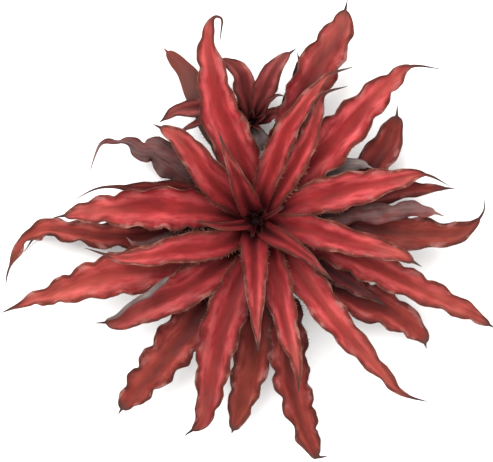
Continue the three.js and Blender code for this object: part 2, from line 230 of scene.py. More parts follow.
# Its lean to the tip, its lift off the upper face and half its base, as shares of its height
TOOTH_LEAN = 0.75
TOOTH_LIFT = 0.15
TOOTH_HALF_BASE = 0.26
# How far it strays, as a share of the pitch, and the factors of its height: the least and the greatest
# that are drawn, then the ones near the root and near the tip
TOOTH_STRAY = 0.45
TOOTH_SIZES = (0.45, 1.35)
TOOTH_FALL = (1.35, 0.5)
FIRST_TOOTH_SEED = 100
PATTERN_STEP = 37.0

# Every stem is a turned profile of [radius, height] rows
STEM_PROFILE = ((8, 0), (9.2, 1.5), (9.2, 26), (7.4, 33), (4.6, 39), (2.8, 43), (0, 44))
OFFSET_PLACE = polar(np.array([(67, 92, 0)], float))[0]
OFFSET_PROFILE = ((2.6, 7), (4, 9), (4, 22), (2, 26), (0, 27))
RUNNER_RIB = ((4, 91, 7), (22, 91, 8), (45, 92, 8), (67, 92, 11))

TAIL_WIDTH = 2.4
TIP_WIDTH = 0.35
ROOT_SINK = 0.7
ROOT_CHANNEL_SHARE = 0.35
SHOULDER = 0.42
LEVELLING = 0.65
OUTWARD_SHARE = 0.8
NOTCH = 0.04
LOBE_MEAN = 1.25
OUTWARD_LAG = 0.8
LEAF_PHASE = 2.4
SIDE_PHASE = 1.9
WANDER = 0.8
WANDER_TURNS = 1.7
# The ripple on each wave: its height and its pace as shares of the wave's
RISE_RIPPLE = (0.2, 2.7)
REACH_RIPPLE = (0.14, 2.3)
RISE_POWER = 2.2
THINNING_POWER = 1.6
TIP_THICKNESS_SHARE = 0.4
FOLD_EDGE = 0.18
SCAR_POWER = 6
SCAR_SWAY = 0.6
# The runner's joints: their count, their power, and its waist and their swell as shares of its radius
JOINTS = 5
JOINT_POWER = 8
JOINT_SHARES = (0.84, 0.16)


@dataclass(frozen=True)
class Fold:
    """A stretch of one margin that is turned over.

    side is 1 for the left margin and -1 for the right one, first and last the shares of the length between
    which it is turned, crease the share of the half width where the turn starts, turn its angle, and bend the
    share of the half width over which it turns.
    """

    side: int
    first: float
    last: float
    crease: float
    turn: float
    bend: float = 0.5

    def heading(self, share: Array, across: Array, side: int) -> Array:
        """The turn added to the section's heading: it swells and fades along, and grows from the crease out.

        Args:
            share: Shares of the length, as a column.
            across: Shares of the half width, as a row.
            side: The margin asked for.

        Returns:
            Degrees, one row for each share.
        """
        if side != self.side:
            return np.zeros((len(share), across.size))
        edge = FOLD_EDGE * (self.last - self.first)
        window = smoothstep(share, self.first, self.first + edge) * (
            1 - smoothstep(share, self.last - edge, self.last)
        )
        return self.turn * window * smoothstep(across, self.crease, self.crease + self.bend)


@dataclass(frozen=True)
class Leaf:
    """One leaf: its sizes, as the part has them, and its looks.

    root is [azimuth, height] on the stem and rib the midrib's other points as [radius, azimuth, height].
    clasp is the width at the root, width the widest, belly the share of the length where that is, taper how
    early the blade narrows after it, and tail the share that is a thin spine. waves is the count along an
    edge and ruffle their height. channel is how far the edges turn up, in radians. roll turns the blade
    about its midrib, at the root and at the tip. tone makes it lighter or darker, ash turns its underside
    pale grey, dusk darkens its middle, fade turns it from red to brown, stripe widens its drab middle, spines
    scales its teeth and folds turn its margins over, which the part leaves flat.
    """

    root: tuple[float, float]
    rib: tuple[tuple[float, float, float], ...]
    clasp: float
    width: float
    belly: float
    taper: float
    waves: float
    ruffle: float
    tail: float = 0.06
    channel: float = 0.75
    roll: tuple[float, float] = (0, 0)
    tone: float = 0.0
    ash: float = 0.0
    dusk: float = 0.0
    fade: float = 0.0
    stripe: float = 1.0
    spines: float = 1.0
    folds: tuple[Fold, ...] = ()


HEART_LEAVES = (
    Leaf((255, 42), ((6, 254, 46), (11, 256, 51)), 2.6, 3.4, 0.3, 1, 0, 0, tone=-0.45, spines=0),
    Leaf((22, 41.5), ((8, 23, 46), (15, 26, 50), (21, 28, 52)), 2.6, 3.6, 0.3, 1, 0, 0, tone=-0.3,
         spines=0),
    Leaf((194, 39.5), ((9, 196, 45), (24, 188, 57), (39, 180, 66)), 7, 8.5, 0.2, 1, 0, 0, channel=1.1,
         tone=-0.04, spines=0.5),
    Leaf((113, 37.5), ((11, 114, 48), (26, 114, 70), (44, 114, 90), (62, 113, 104)), 14, 18.5, 0.25, 1.1, 3,
         0.4, tail=0.1, channel=1.1, tone=0.3, spines=0.7),
    Leaf((316, 38), ((12, 318, 47), (27, 325, 59), (42, 325, 69), (64, 322, 78)), 11, 14.5, 0.26, 1.1, 3,
         0.3, tail=0.1, tone=-0.16, spines=0.8),
    Leaf((264, 34.2), ((14, 265, 44), (32, 269, 58), (59, 270, 74), (85, 271, 83)), 14.2, 20, 0.2, 0.95, 4,
         0.6),
)

UPPER_LEAVES = (
    Leaf((77, 32.8), ((21, 77, 42.6), (48, 73, 59), (70, 70, 69), (93, 66, 77), (107, 63, 80),
          (118, 58, 80)), 12, 18.5, 0.35, 0.85, 6, 0.8, tail=0.1, tone=0.05),
    Leaf((53, 29.5), ((19, 54, 37), (39, 55, 47), (60, 57, 56), (79, 60, 62), (94, 62, 65), (107, 56, 64)),
         13.5, 18, 0.35, 0.85, 6, 0.8, tail=0.12, tone=0.2, spines=1.3),
    Leaf((139, 29.5), ((14, 139, 36), (30, 137, 47), (48, 135, 56), (65, 133, 63), (79, 133.8, 67),
          (93, 136.8, 68)), 10.4, 24, 0.4, 0.5, 5, 0.7, spines=1.2),
    Leaf((221, 31), ((16, 221, 38), (34, 208, 47), (53, 200, 55), (73, 198, 61), (93, 195, 65),
          (114, 189, 65)), 13.5, 22, 0.35, 0.8, 5, 0.8, tail=0.13, spines=1.2),
    Leaf((296, 29.6), ((19, 296, 37.6), (38, 289, 47), (60, 287, 55), (82, 286, 61), (99, 286, 63),
          (116, 284, 63)), 11.4, 22, 0.35, 0.8, 5, 0.9, tone=-0.06, spines=1.2),
    Leaf((350, 32.8), ((18, 350, 41), (36, 350, 49), (57, 348, 57), (77, 347.3, 63), (97, 346.7, 66),
          (113, 344.6, 65)), 13, 22.5, 0.35, 0.52, 5, 0.9),
)

MIDDLE_LEAVES = (
    Leaf((97, 26), ((29, 100, 35.5), (50, 105.5, 42), (72, 108, 47), (85, 108, 48.5), (101, 106.6, 49.5),
          (118, 105.8, 49), (131, 104, 48.4), (138.5, 101.6, 47), (136.5, 99.6, 45), (129, 100.4, 42.5),
          (121, 101.6, 40)), 12, 31, 0.32, 0.84, 7, 1.6, tail=0.15, stripe=1.15),
    Leaf((162, 28), ((31, 167, 38), (51, 171, 43), (70, 173.2, 47), (90, 175.1, 49), (107, 176.2, 49),
          (135, 179, 46)), 12, 30.5, 0.42, 0.64, 7, 1.8, tail=0.06, folds=(Fold(-1, 0.22, 0.72, 0.5, 75),)),
    Leaf((258, 27), ((25, 257, 35), (47, 253.5, 41), (68, 252, 46), (90, 252.7, 49), (122, 255, 50.5),
          (138, 254.8, 50), (151, 251.5, 48)), 9.4, 29.5, 0.46, 0.6, 8, 1.5, tail=0.05, tone=-0.28),
    Leaf((28, 25.5), ((19, 26, 32), (38, 22, 39.5), (59, 19, 45), (100, 16.5, 51), (117, 15.2, 52),
          (131, 10.2, 51)), 12, 27, 0.42, 0.8, 6, 1.2, tail=0.14, tone=0.02),
    Leaf((312, 25.5), ((24, 312, 34.6), (44, 310.6, 42), (86, 308.8, 51), (127, 309.7, 54),
          (150, 310.4, 53), (166, 313.6, 51)), 9.5, 24, 0.32, 0.95, 7, 1.5, tail=0.08, tone=0.05, fade=0.5),
    Leaf((241.6, 24), ((26, 238.8, 31.4), (43, 230, 36.4), (62, 223.8, 42), (99, 216.8, 47),
          (114, 215.4, 47), (127, 212.4, 45)), 10.4, 29, 0.5, 0.4, 6, 1, tail=0.06, roll=(0, -35),
         tone=-0.16, ash=0.85, dusk=0.3, spines=1.2, folds=(Fold(-1, 0.5, 0.98, 0.68, 155, 0.2),)),
    Leaf((50, 20), ((32, 49.5, 32), (54, 47.6, 38), (77, 46.2, 43), (109, 46.3, 47), (128, 46.1, 48),
          (146, 44.8, 48), (160, 39.3, 46)), 8.4, 32.5, 0.38, 0.7, 8, 2.2, tail=0.13, tone=0.05),
)

SPREADING_LEAVES = (
    Leaf((222, 20.5), ((28, 221, 26.6), (51, 211, 30.6), (77, 203.6, 33), (111, 199.9, 35),
          (140, 199.5, 34.5), (160, 199.3, 34), (182, 199.8, 32)), 8, 34, 0.46, 1.2, 9, 1.9, tail=0.04,
         roll=(0, -15), tone=0.18, fade=0.45),
    Leaf((335, 19.5), ((32, 337, 28), (65, 339.6, 34), (110, 337.8, 38), (149, 337, 37),
          (176.2, 335.9, 33)), 8, 24, 0.44, 0.57, 8, 1.9, tail=0.03, tone=0.02, fade=0.3),
    Leaf((75, 13), ((31, 74, 26), (59, 72, 32), (95, 68.6, 36), (118, 67.4, 37), (140, 66.3, 36.5),
          (161.2, 67.5, 34)), 8, 29.5, 0.7, 0.5, 8, 2.2, tail=0.05, tone=-0.04, dusk=0.9, stripe=2),
    # The last two points stand in by under 1 mm, which keeps the fine blade inside the part's box
    Leaf((280, 20.5), ((39, 284.6, 28), (66, 287.2, 32), (92, 283.5, 34), (110, 282.4, 34.5),
          (130, 282.9, 34), (150, 283.5, 32), (163.2, 284.6, 31), (165.6, 287, 30)), 8, 28, 0.5, 0.4, 9,
         2.4, tail=0.04, roll=(0, -15), tone=-0.03, dusk=0.3, fade=0.15),
    Leaf((239, 14.5), ((36, 240.5, 23.2), (64, 240, 27.2), (112, 236.1, 31), (147, 234.5, 30),
          (160, 234.5, 29)), 8, 34, 0.5, 0.42, 9, 2.8, tail=0.03, dusk=0.4, fade=0.25),
    Leaf((150, 22), ((25, 152, 27), (51, 157, 31), (73, 162.9, 34), (105, 167.5, 36), (123, 173.2, 34)), 7,
         14, 0.45, 1.4, 5, 0.8, tail=0.24, tone=-0.1),
    Leaf((359, 15.5), ((29, 359, 23), (62, 357, 28), (105, 355.8, 32), (131, 356.5, 33), (140, 357.8, 33),
          (147, 359.5, 32.5), (153.2, 2.4, 32), (154.8, 5.6, 31)), 8, 26.5, 0.54, 0.68, 6, 1.8, tail=0.09,
         roll=(0, 15), dusk=0.7, fade=0.5),
    Leaf((6, 22), ((29, 5, 30), (62, 3, 38.4), (92, 4, 44), (114, 3.4, 44.4), (126, 1.5, 42.5)), 5, 13,
         0.76, 0.45, 4, 2.6, roll=(180, 180), ash=0.2),
)

LOWER_LEAVES = (
    Leaf((270, 12.5), ((27, 270, 18.5), (59, 271, 22), (85, 269.4, 23), (130, 264.9, 20), (145, 263.5, 18)),
         8, 30, 0.52, 0.5, 8, 1.5, tail=0.02, tone=0.24, dusk=0.4, fade=0.5),
    Leaf((139, 11.5), ((30, 137, 17), (66, 144, 21.5), (83, 145.5, 23), (91, 148, 23), (100, 148.3, 22),
          (108, 150, 21), (115.5, 152, 20), (118, 155.8, 18), (118, 163.8, 14)), 8, 28, 0.42, 2.6, 7, 2.3,
         tail=0.16, roll=(180, 160), tone=-0.1, ash=0.25),
    Leaf((14, 9), ((30, 14, 15), (64, 13.4, 18.5), (106, 11.7, 19), (138, 9.4, 16)), 7, 18, 0.5, 0.8, 5,
         1.2, tone=0.15),
    Leaf((187, 11.5), ((27, 187, 17), (77, 187.4, 20), (110, 184.6, 20), (138, 182.2, 19.5),
          (151, 183, 18.5), (160, 185.7, 17.5), (167.4, 189.2, 16), (172.8, 192, 14.5), (176.4, 194.8, 13)),
         7, 19, 0.48, 0.9, 8, 2.6, tail=0.08, roll=(0, 25), tone=0.34, fade=0.3),
    Leaf((317, 13), ((40, 317.5, 20.5), (68, 320.6, 22), (90, 323.7, 22), (108, 326.2, 21),
          (134, 325.8, 18), (145, 323.3, 17)), 8, 28.5, 0.6, 0.5, 7, 2.2, tail=0.03, tone=0.24, dusk=0.6,
         stripe=1.3),
    Leaf((23, 12.5), ((31, 21, 20), (61, 20.4, 24.5), (80, 23.2, 25.5), (91, 27, 25.5), (103, 30.8, 25),
          (116, 35.4, 23), (124, 39.2, 21)), 7, 24, 0.72, 0.45, 5, 1.4, tone=0.15, dusk=0.85, stripe=1.8),
    Leaf((112, 17), ((40, 113.6, 22), (70, 114.4, 21), (110, 115.2, 18), (133.5, 118, 16)), 7, 19.5, 0.6,
         0.42, 5, 0.8, tail=0.03, roll=(180, 170), tone=0.16, fade=1),
    Leaf((199, 16.5), ((28, 197, 24.5), (51, 193, 30), (72, 193, 31), (83, 191, 30), (88, 187, 29)), 6, 12,
         0.6, 0.5, 4, 1.2, roll=(180, 150), tone=0.7, ash=0.35),
)

WITHERED_LEAVES = (
    Leaf((37, 18.6), ((33, 37, 27), (52, 36, 33.4), (67, 33, 36.8), (79, 29, 36), (87, 24, 32)), 5, 15, 0.6,
         0.5, 4, 1, roll=(180, 180), tone=0.4, ash=0.75),
    Leaf((76, 11), ((25, 77, 13), (49, 76, 14), (79, 73.8, 14), (102, 73.8, 13), (112, 74.6, 12),
          (119, 76.2, 10)), 6, 12, 0.6, 0.5, 5, 1, roll=(180, 200), tone=-0.45),
    Leaf((321, 16.6), ((30, 324, 24), (60, 326.4, 30), (84, 326.8, 30.6), (105, 327, 28)), 5, 13, 0.6, 0.9,
         5, 1, channel=0.3, tone=-0.02, dusk=0.5),
    Leaf((225, 11), ((38, 225, 14), (67, 219, 14), (85, 217, 13), (96, 213, 10)), 6, 14, 0.6, 0.5, 4, 1,
         roll=(180, 180)),
    Leaf((181, 7.5), ((27, 181, 10), (64, 187, 10), (97, 185.8, 8), (145, 183.4, 4), (161, 187.5, 1)), 5,
         10, 0.5, 0.8, 6, 0.8, tail=0.12, tone=-0.3),
    Leaf((270, 8), ((30, 272, 9), (60, 276, 8), (90, 279, 4.5), (110, 281, 1)), 7, 16, 0.5, 0.7, 5, 1.2,
         tone=-0.2),
)

OFFSET_LEAVES = (
    Leaf((73, 22), ((11, 73, 27), (22, 69.5, 32), (30, 69, 35.6), (38, 67, 38.5), (46, 64.4, 40),
          (57, 58.8, 40)), 5.5, 17.5, 0.45, 0.7, 3, 0.7, tail=0.1, tone=0.05),
    Leaf((108, 18), ((10, 104, 22), (22, 102.6, 27), (32, 102.4, 30), (40.5, 109.5, 31), (49, 118, 31)), 5,
         17, 0.45, 0.7, 3, 0.7, tone=0.3),
    Leaf((88, 13.5), ((11, 88, 16), (21, 95, 19), (33, 102, 21), (45, 108, 21)), 4, 9, 0.4, 0.8, 3, 0.5,
         tone=-0.1),
    Leaf((138, 16), ((12, 139, 20), (23, 147, 23), (36, 164, 25), (51, 171, 25), (63, 180, 23)), 5, 15.5,
         0.45, 0.75, 4, 0.7),
    Leaf((168, 20), ((12, 168, 26), (25, 173, 30), (37, 181, 33), (49, 188, 34)), 5, 8.5, 0.4, 0.9, 3, 0.5,
         tone=0.1),
    Leaf((12, 18.5), ((8, 16, 22.6), (15, 23, 27), (21, 24, 29), (26, 20, 29)), 5, 9, 0.45, 0.7, 2, 0.6,
         tone=0.8, fade=0.3),
    Leaf((300, 19), ((8, 298, 23), (14, 291, 26), (21, 282, 27)), 5, 14, 0.5, 0.5, 2, 0.6, roll=(180, 180),
         tone=0.5, ash=0.8),
    Leaf((44, 23.5), ((8, 46, 30), (16, 51, 39), (23, 47, 44.5), (27, 38, 45.5)), 3.6, 5, 0.4, 0.8, 2, 0.3,
         tail=0.15, tone=-0.1, spines=0.5),
)

SMALL_SIZES = {"stations": 96, "columns": 17, "tooth_pitch": 2.2, "tooth_height": 0.8}
CUP_SIZES = {"stations": 40, "columns": 17}

# Young sheaths that close the vase round each growing point, first the plant's and then the offset's. The
# plant's are given a dark tone as painted shade of the hollow they line.
HEART_CUP = tuple(
    Leaf(root, rib, *widths, 0.4, 0.5, 0, 0, 0.05, channel, tone=-0.6, spines=0)
    for root, rib, widths, channel in (
        ((50, 38), ((6, 52, 41), (10, 54, 44.5)), (7, 9), 1.1),
        ((150, 38), ((6, 148, 41), (10, 146, 45)), (7, 9), 1.1),
        ((222, 38), ((6, 222, 41), (9, 224, 44)), (7, 9), 1.1),
        ((290, 38), ((6, 288, 41), (9, 286, 44)), (7, 9), 1.1),
        ((100, 40.5), ((3, 100, 44), (5.4, 104, 48)), (4.5, 5), 1.3),
        ((340, 40.5), ((3, 340, 44), (5, 336, 47.5)), (4.5, 5), 1.3),
    )
)

OFFSET_CUP = tuple(
    Leaf(root, rib, 4, width, 0.4, 0.6, 0, 0, 0.06, 1.1, spines=0)
    for root, rib, width in (
        ((20, 23), ((4, 20, 27), (8, 24, 33), (10, 26, 36)), 5),
        ((95, 23.5), ((3, 95, 28), (6, 92, 34), (8, 90, 37)), 4.6),
        ((165, 23), ((4, 165, 26), (8, 160, 31), (11, 157, 33)), 5),
        ((240, 23), ((4, 240, 26), (7, 236, 30), (9, 234, 32)), 5),
        ((310, 23.5), ((3, 310, 28), (6, 316, 34), (8, 320, 37)), 4.6),
    )
)


@dataclass
class Blade:
    """The surface of one leaf, worked out from its row as whole grids of points."""

    leaf: Leaf
    index: int
    profile: tuple[tuple[float, float], ...]
    place: Array
    stations: int = 150
    columns: int = 23
    middle_thickness: float = 1.0
    edge_thickness: float = 0.42
    tooth_pitch: float = 1.9
    tooth_height: float = 1.15
    share: Array = field(init=False)
    across: Array = field(init=False)
    sheet: Array = field(init=False)
    outward: Array = field(init=False)
    half: Array = field(init=False)

    def __post_init__(self) -> None:
        """Works out the middle surface, its normals and its half widths."""
        self.share = np.linspace(0, 1, self.stations)
        self.across = np.sin(np.linspace(-np.pi / 2, np.pi / 2, self.columns))
        self.half = self.half_width(self.share)
        self.sheet = self.middle_surface()
        along = np.gradient(self.sheet, axis=0)
        left = np.gradient(self.sheet, axis=1)
        self.outward = unit(np.cross(along, left))

    def half_width(self, share: Array) -> Array:
        """Half the blade's width at shares of its length.

        It rises on a smoothstep from the clasp to the full width at the belly. Past it the share p of the way
        to the tail leaves (1 - p^2) to the power of the taper, times (1 - p / 4), of the width over the
        tail's. The tail narrows straight to the tip.

        Args:
            share: Shares of the length.

        Returns:
            Millimetres.
        """
        leaf = self.leaf
        end = 1 - leaf.tail
        swell = lerp(leaf.clasp, leaf.width, smoothstep(share, -0.05, leaf.belly))
        past = np.clip((share - leaf.belly) / (end - leaf.belly), 0, 1)
        fullness = (1 - past**2) ** leaf.taper * (1 - past / 4)
        narrowing = lerp(TAIL_WIDTH, leaf.width, fullness)
        tail = lerp(TAIL_WIDTH, TIP_WIDTH, (share - end) / leaf.tail)
        return np.select((share < leaf.belly, share > end), (swell, tail), narrowing) / 2

    def wave(self, side: int) -> tuple[Array, Array]:
        """How far one edge stands up and out along the leaf.

        Both follow one wandering phase and fade at the root and the tip. The rise is its sine. The reach is
        twice the root of the squared cosine of half the phase plus a notch, less a mean, which gives round
        lobes with narrow notches between. A quicker, lower ripple is added to each.

        Args:
            side: 1 for the left edge and -1 for the right one.

        Returns:
            Rises and reaches, in millimetres, one for each station.
        """
        leaf, share = self.leaf, self.share
        height = leaf.ruffle * smoothstep(share, 0.08, 0.35)
        height = height * (1 - smoothstep(share, 0.88 - leaf.tail, 1 - 0.6 * leaf.tail))
        start = LEAF_PHASE * self.index + SIDE_PHASE * side
        wander = WANDER * np.sin(2 * np.pi * WANDER_TURNS * share + start)
        phase = 2 * np.pi * leaf.waves * share + start + wander
        part, pace = RISE_RIPPLE
        rise = height * (np.sin(phase) + part * np.sin(pace * phase + start))
        part, pace = REACH_RIPPLE
        lobe = 2 * np.sqrt(np.cos((phase + OUTWARD_LAG) / 2) ** 2 + NOTCH) - LOBE_MEAN
        reach = height * OUTWARD_SHARE * (lobe + part * np.sin(pace * phase - start))
        return rise, reach

    def frames(self) -> tuple[Array, Array, Array]:
        """The midrib's points with the directions to the left and off the upper face at each.

        The left direction is level, then turned about the run of the midrib by the leaf's roll.

        Returns:
            Three arrays of rows of x, y and z.
        """
        azimuth, height = self.leaf.root
        radii, heights = zip(*self.profile)
        start = float(np.interp(height, heights, radii)) - ROOT_SINK
        knots = polar(np.array([(start, azimuth, height), *self.leaf.rib], float))
        centres = smooth_path(knots, self.stations) + self.place
        along = unit(np.gradient(centres, axis=0))
        level = unit(np.cross((0, 0, 1), along))
        first, last = np.radians(self.leaf.roll)
        roll = lerp(first, last, smoothstep(self.share, 0.3, 1))[:, None]
        left = level * np.cos(roll) + np.cross(along, level) * np.sin(roll)
        return centres, left, np.cross(along, left)

    @staticmethod
    def section(heading: Array, reach: Array) -> tuple[Array, Array]:
        """The way across and up at each share of the half width: the sums of the heading's cosine and sine.

        Args:
            heading: The surface's slope in radians, one row for each station.
            reach: Shares of the half width, as a row.

        Returns:
            Two grids in half widths.
        """
        halfway = (heading[:, 1:] + heading[:, :-1]) / 2
        step = np.diff(reach, axis=1)
        nothing = np.zeros((len(heading), 1))
        return (
            np.hstack((nothing, np.cumsum(np.cos(halfway) * step, axis=1))),
            np.hstack((nothing, np.cumsum(np.sin(halfway) * step, axis=1))),
        )

    def middle_surface(self) -> Array:
        """The grid of points half-way through the blade.

        Across the blade the surface sets out level from the midrib, its heading turns up on a smoothstep to
        the shoulder and levels off again towards the margin. Folds turn it further. It is scaled so that its
        widest place lies as far out as on an even arc. The waves of the edge are added, the outward one with
        the square of the share of the half width and the upward one with its power 2.2.

        Returns:
            A grid of stations by columns of x, y and z.
        """
        leaf, share = self.leaf, self.share[:, None]
        centres, left, normal = self.frames()
        bend = leaf.channel * lerp(ROOT_CHANNEL_SHARE, 1, smoothstep(share, 0, 0.2))
        middle = self.columns // 2
        sheet = np.zeros((self.stations, self.columns, 3))
        for side in (1, -1):
            reach = np.abs(self.across[middle:])[None, :]
            slope = smoothstep(reach, 0, SHOULDER) * (1 - LEVELLING * smoothstep(reach, SHOULDER, 1))
            mean = np.sum((slope[:, 1:] + slope[:, :-1]) / 2 * np.diff(reach, axis=1))
            heading = bend / 2 / mean * slope
            for fold in leaf.folds:
                heading = heading + np.radians(fold.heading(share, reach, side))
            out, up = self.section(heading, reach)
            width = self.half[:, None] * np.sin(bend) / bend / out.max(axis=1, keepdims=True)
            rise, swing = (part[:, None] for part in self.wave(side))
            out = out * width + swing * reach**2
            up = up * width + rise * reach**RISE_POWER
            points = (
                centres[:, None]
                + left[:, None] * side * out[..., None]
                + normal[:, None] * up[..., None]
            )
            columns = slice(middle, None) if side == 1 else slice(middle, None, -1)
            sheet[:, columns] = points
        return sheet

    def marks(
        self, points: Array, share: Array, across: Array, half: Array, horn: Array
    ) -> dict[str, Array]:
        """What the materials read at each point.

        Args:
            points: The points, as rows.
            share: Share of the length.
            across: Share of the half width, negative on the right.
            half: Half width in millimetres.
            horn: 0 on the blade and on a tooth's base, 1 at its point.

        Returns:
            blade holds share and across and the distance from the margin, ground the way along and across in
            millimetres and a number of the leaf's own, trait its tone, fade and stripe, heart the distance
            from the plant's axis, ash and dusk the leaf's own, dry how far the tip has dried, and horn as
            given.
        """
        midrib = self.sheet[:, self.columns // 2]
        length = float(np.sum(np.linalg.norm(np.diff(midrib, axis=0), axis=1)))
        seed = np.full(share.shape, PATTERN_STEP * (self.index + 1))
        end = 1 - self.leaf.tail
        return {
            "blade": np.stack((share, across, half * (1 - np.abs(across))), axis=-1).reshape(-1, 3),
            "ground": np.stack((share * length, across * half, seed), axis=-1).reshape(-1, 3),
            "trait": np.tile((1 + self.leaf.tone, self.leaf.fade, self.leaf.stripe), (share.size, 1)),
            "heart": np.hypot(*(points - self.place)[:, :2].T),
            "ash": np.full(share.size, self.leaf.ash),
            "dusk": np.full(share.size, self.leaf.dusk),
            "dry": smoothstep(share, end - 0.05, end + self.leaf.tail * 0.5).ravel(),
            "horn": horn.ravel(),
        }

    def shell(self) -> Patch:
        """The closed blade: the middle surface moved out along its normals to both faces.

        It is thickest along the midrib, thins with the share of the half width to the power 1.6, and thins
        again to the tip. A ring round each station runs over the upper face and back along the lower one.

        Returns:
            The blade with its finishes and marks.
        """
        rows, columns = self.stations, self.columns
        share, across = np.meshgrid(self.share, self.across, indexing="ij")
        thickness = lerp(self.middle_thickness, self.edge_thickness, np.abs(across) ** THINNING_POWER)
        thickness = thickness * lerp(1, TIP_THICKNESS_SHARE, smoothstep(share, 0.8, 1))
        rise = self.outward * thickness[..., None] / 2
        upper, lower = self.sheet + rise, (self.sheet - rise)[:, ::-1]
        points = np.concatenate((upper, lower), axis=1).reshape(-1, 3)
        ring = 2 * columns
        near = np.arange(rows - 1)[:, None] * ring
        here = np.arange(ring)[None, :]
        there = (here + 1) % ring
        sides = np.stack((near + here, near + ring + here, near + ring + there, near + there), axis=-1)
        looks = np.where(np.arange(ring) < columns, Face.UPPER.value, Face.UNDER.value)
        looks[-1] = Face.UPPER.value
        k = np.arange(columns - 1)
        root = np.stack((k, k + 1, ring - 2 - k, ring - 1 - k), axis=-1)
        tip = root[:, ::-1] + (rows - 1) * ring
        quads = np.vstack((sides.reshape(-1, 4), root, tip))
        all_looks = np.concatenate((np.tile(looks, rows - 1), np.zeros(2 * len(k), int)))
        half = np.repeat(self.half[:, None], columns, axis=1)
        both = [np.concatenate((grid, grid[:, ::-1]), axis=1) for grid in (share, across, half)]
        return Patch(points, quads, all_looks, self.marks(points, *both, np.zeros((rows, ring))))

    def teeth(self) -> Patch:
        """The spines along both margins: slim four-sided points that lean to the tip.

        They stand a pitch apart with a seeded jitter, each on a diamond base sunk in the margin, and get
        smaller towards the tip.

        Returns:
            The teeth with their finishes and marks.
        """
        draw = np.random.default_rng(FIRST_TOOTH_SEED + self.index)
        patches = []
        for column in (0, self.columns - 1):
            inner = 2 if column == 0 else column - 2
            edge = self.sheet[:, column]
            way = walked(edge)
            first, last = np.interp((0.1, 1 - self.leaf.tail), self.share, way)
            spots = np.arange(first, last, self.tooth_pitch)
            spots = spots + draw.uniform(-TOOTH_STRAY, TOOTH_STRAY, spots.size) * self.tooth_pitch
            share = np.interp(spots, way, self.share)
            size = self.tooth_height * self.leaf.spines * draw.uniform(*TOOTH_SIZES, spots.size)
            size = size * lerp(*TOOTH_FALL, smoothstep(share, 0.2, 0.7)) * smoothstep(share, 0.04, 0.2)
            size = size[:, None]
            foot = read_at(spots, way, edge)
            forward = unit(read_at(spots, way, np.gradient(edge, axis=0)))
            out = unit(read_at(spots, way, edge - self.sheet[:, inner]))
            face = read_at(spots, way, self.outward[:, column])
            foot = foot - TOOTH_SINK * out
            point = foot + out * (size + TOOTH_SINK) + forward * size * TOOTH_LEAN
            point = point + face * size * TOOTH_LIFT
            base = TOOTH_HALF_BASE * size
            thick = face * TOOTH_HALF_THICKNESS
            corners = (foot - forward * base, foot + thick, foot + forward * base, foot - thick)
            points = np.stack((*corners, point), axis=1).reshape(-1, 3)
            turn = np.sum(np.cross(forward, face) * out, axis=1)[:, None, None]
            plan = np.where(turn > 0, TOOTH_PLAN, TOOTH_PLAN[:, (1, 0, 2, 3)])
            plan[:, 4] = np.where(turn[:, 0] > 0, (0, 1, 2, 3), (3, 2, 1, 0))
            quads = (np.arange(spots.size)[:, None, None] * TOOTH_POINTS + plan).reshape(-1, 4)
            width = np.interp(share, self.share, self.half)
            side = np.full(share.shape, 1 if column else -1)
            grid = [np.repeat(values[:, None], TOOTH_POINTS, axis=1) for values in (share, side, width)]
            horn = np.tile((0.0, 0.0, 0.0, 0.0, 1.0), (spots.size, 1))
            looks = np.full(len(quads), Face.HORN.value)
            patches.append(Patch(points, quads, looks, self.marks(points, *grid, horn)))
        return patches[0].joined(patches[1])


@dataclass
class ShadeCanopy:
    """The plant's upper outline as a grid of heights, which tells how deep a point lies under leaves, where
    the materials paint shade.
    """

    blades: Sequence[Blade]
    cell: float = 2.0
    span: float = 190.0
    turns: int = 12
    reaches: tuple[float, ...] = (3.0, 6.0, 10.0, 15.0)
    steps: tuple[float, float] = (0.4, 1.2)
    heights: Array = field(init=False)

    def __post_init__(self) -> None:
        """Keeps the highest point over each cell."""
        count = int(2 * self.span / self.cell)
        self.heights = np.zeros((count, count))
        for blade in self.blades:
            points = blade.sheet.reshape(-1, 3)
            np.maximum.at(self.heights, self.cells(points), points[:, 2])

    def cells(self, points: Array) -> tuple[Array, Array]:
        """The cells that points lie in, by column and row."""
        spots = np.clip((points[:, :2] + self.span) / self.cell, 0, 2 * self.span / self.cell - 1)
        return spots[:, 0].astype(int), spots[:, 1].astype(int)

    def cover(self, points: Array) -> Array:
        """How much of a point's surroundings stands over it, which the materials paint as shade.

        Round the point lie rings of spots. Each spot counts from 0 to 1 as the canopy there rises from 0.4
        to 1.2 of the ring's radius over the point, and the outcome is their mean.

        Args:
            points: Rows of x, y and z.

        Returns:
            0 in the open to 1 deep under the leaves, one for each point.
        """
        total = np.zeros(len(points))
        for reach in self.reaches:
            for angle in np.linspace(0, 2 * np.pi, self.turns, endpoint=False) + reach:
                spots = points + reach * np.array((np.cos(angle), np.sin(angle), 0.0))
                over = (self.heights[self.cells(spots)] - points[:, 2]) / reach
                total += smoothstep(over, *self.steps)
        return total / (self.turns * len(self.reaches))


# A Mix node's sockets for colours
MIX_BASE, MIX_TOP, MIX_COLOUR = 6, 7, 2


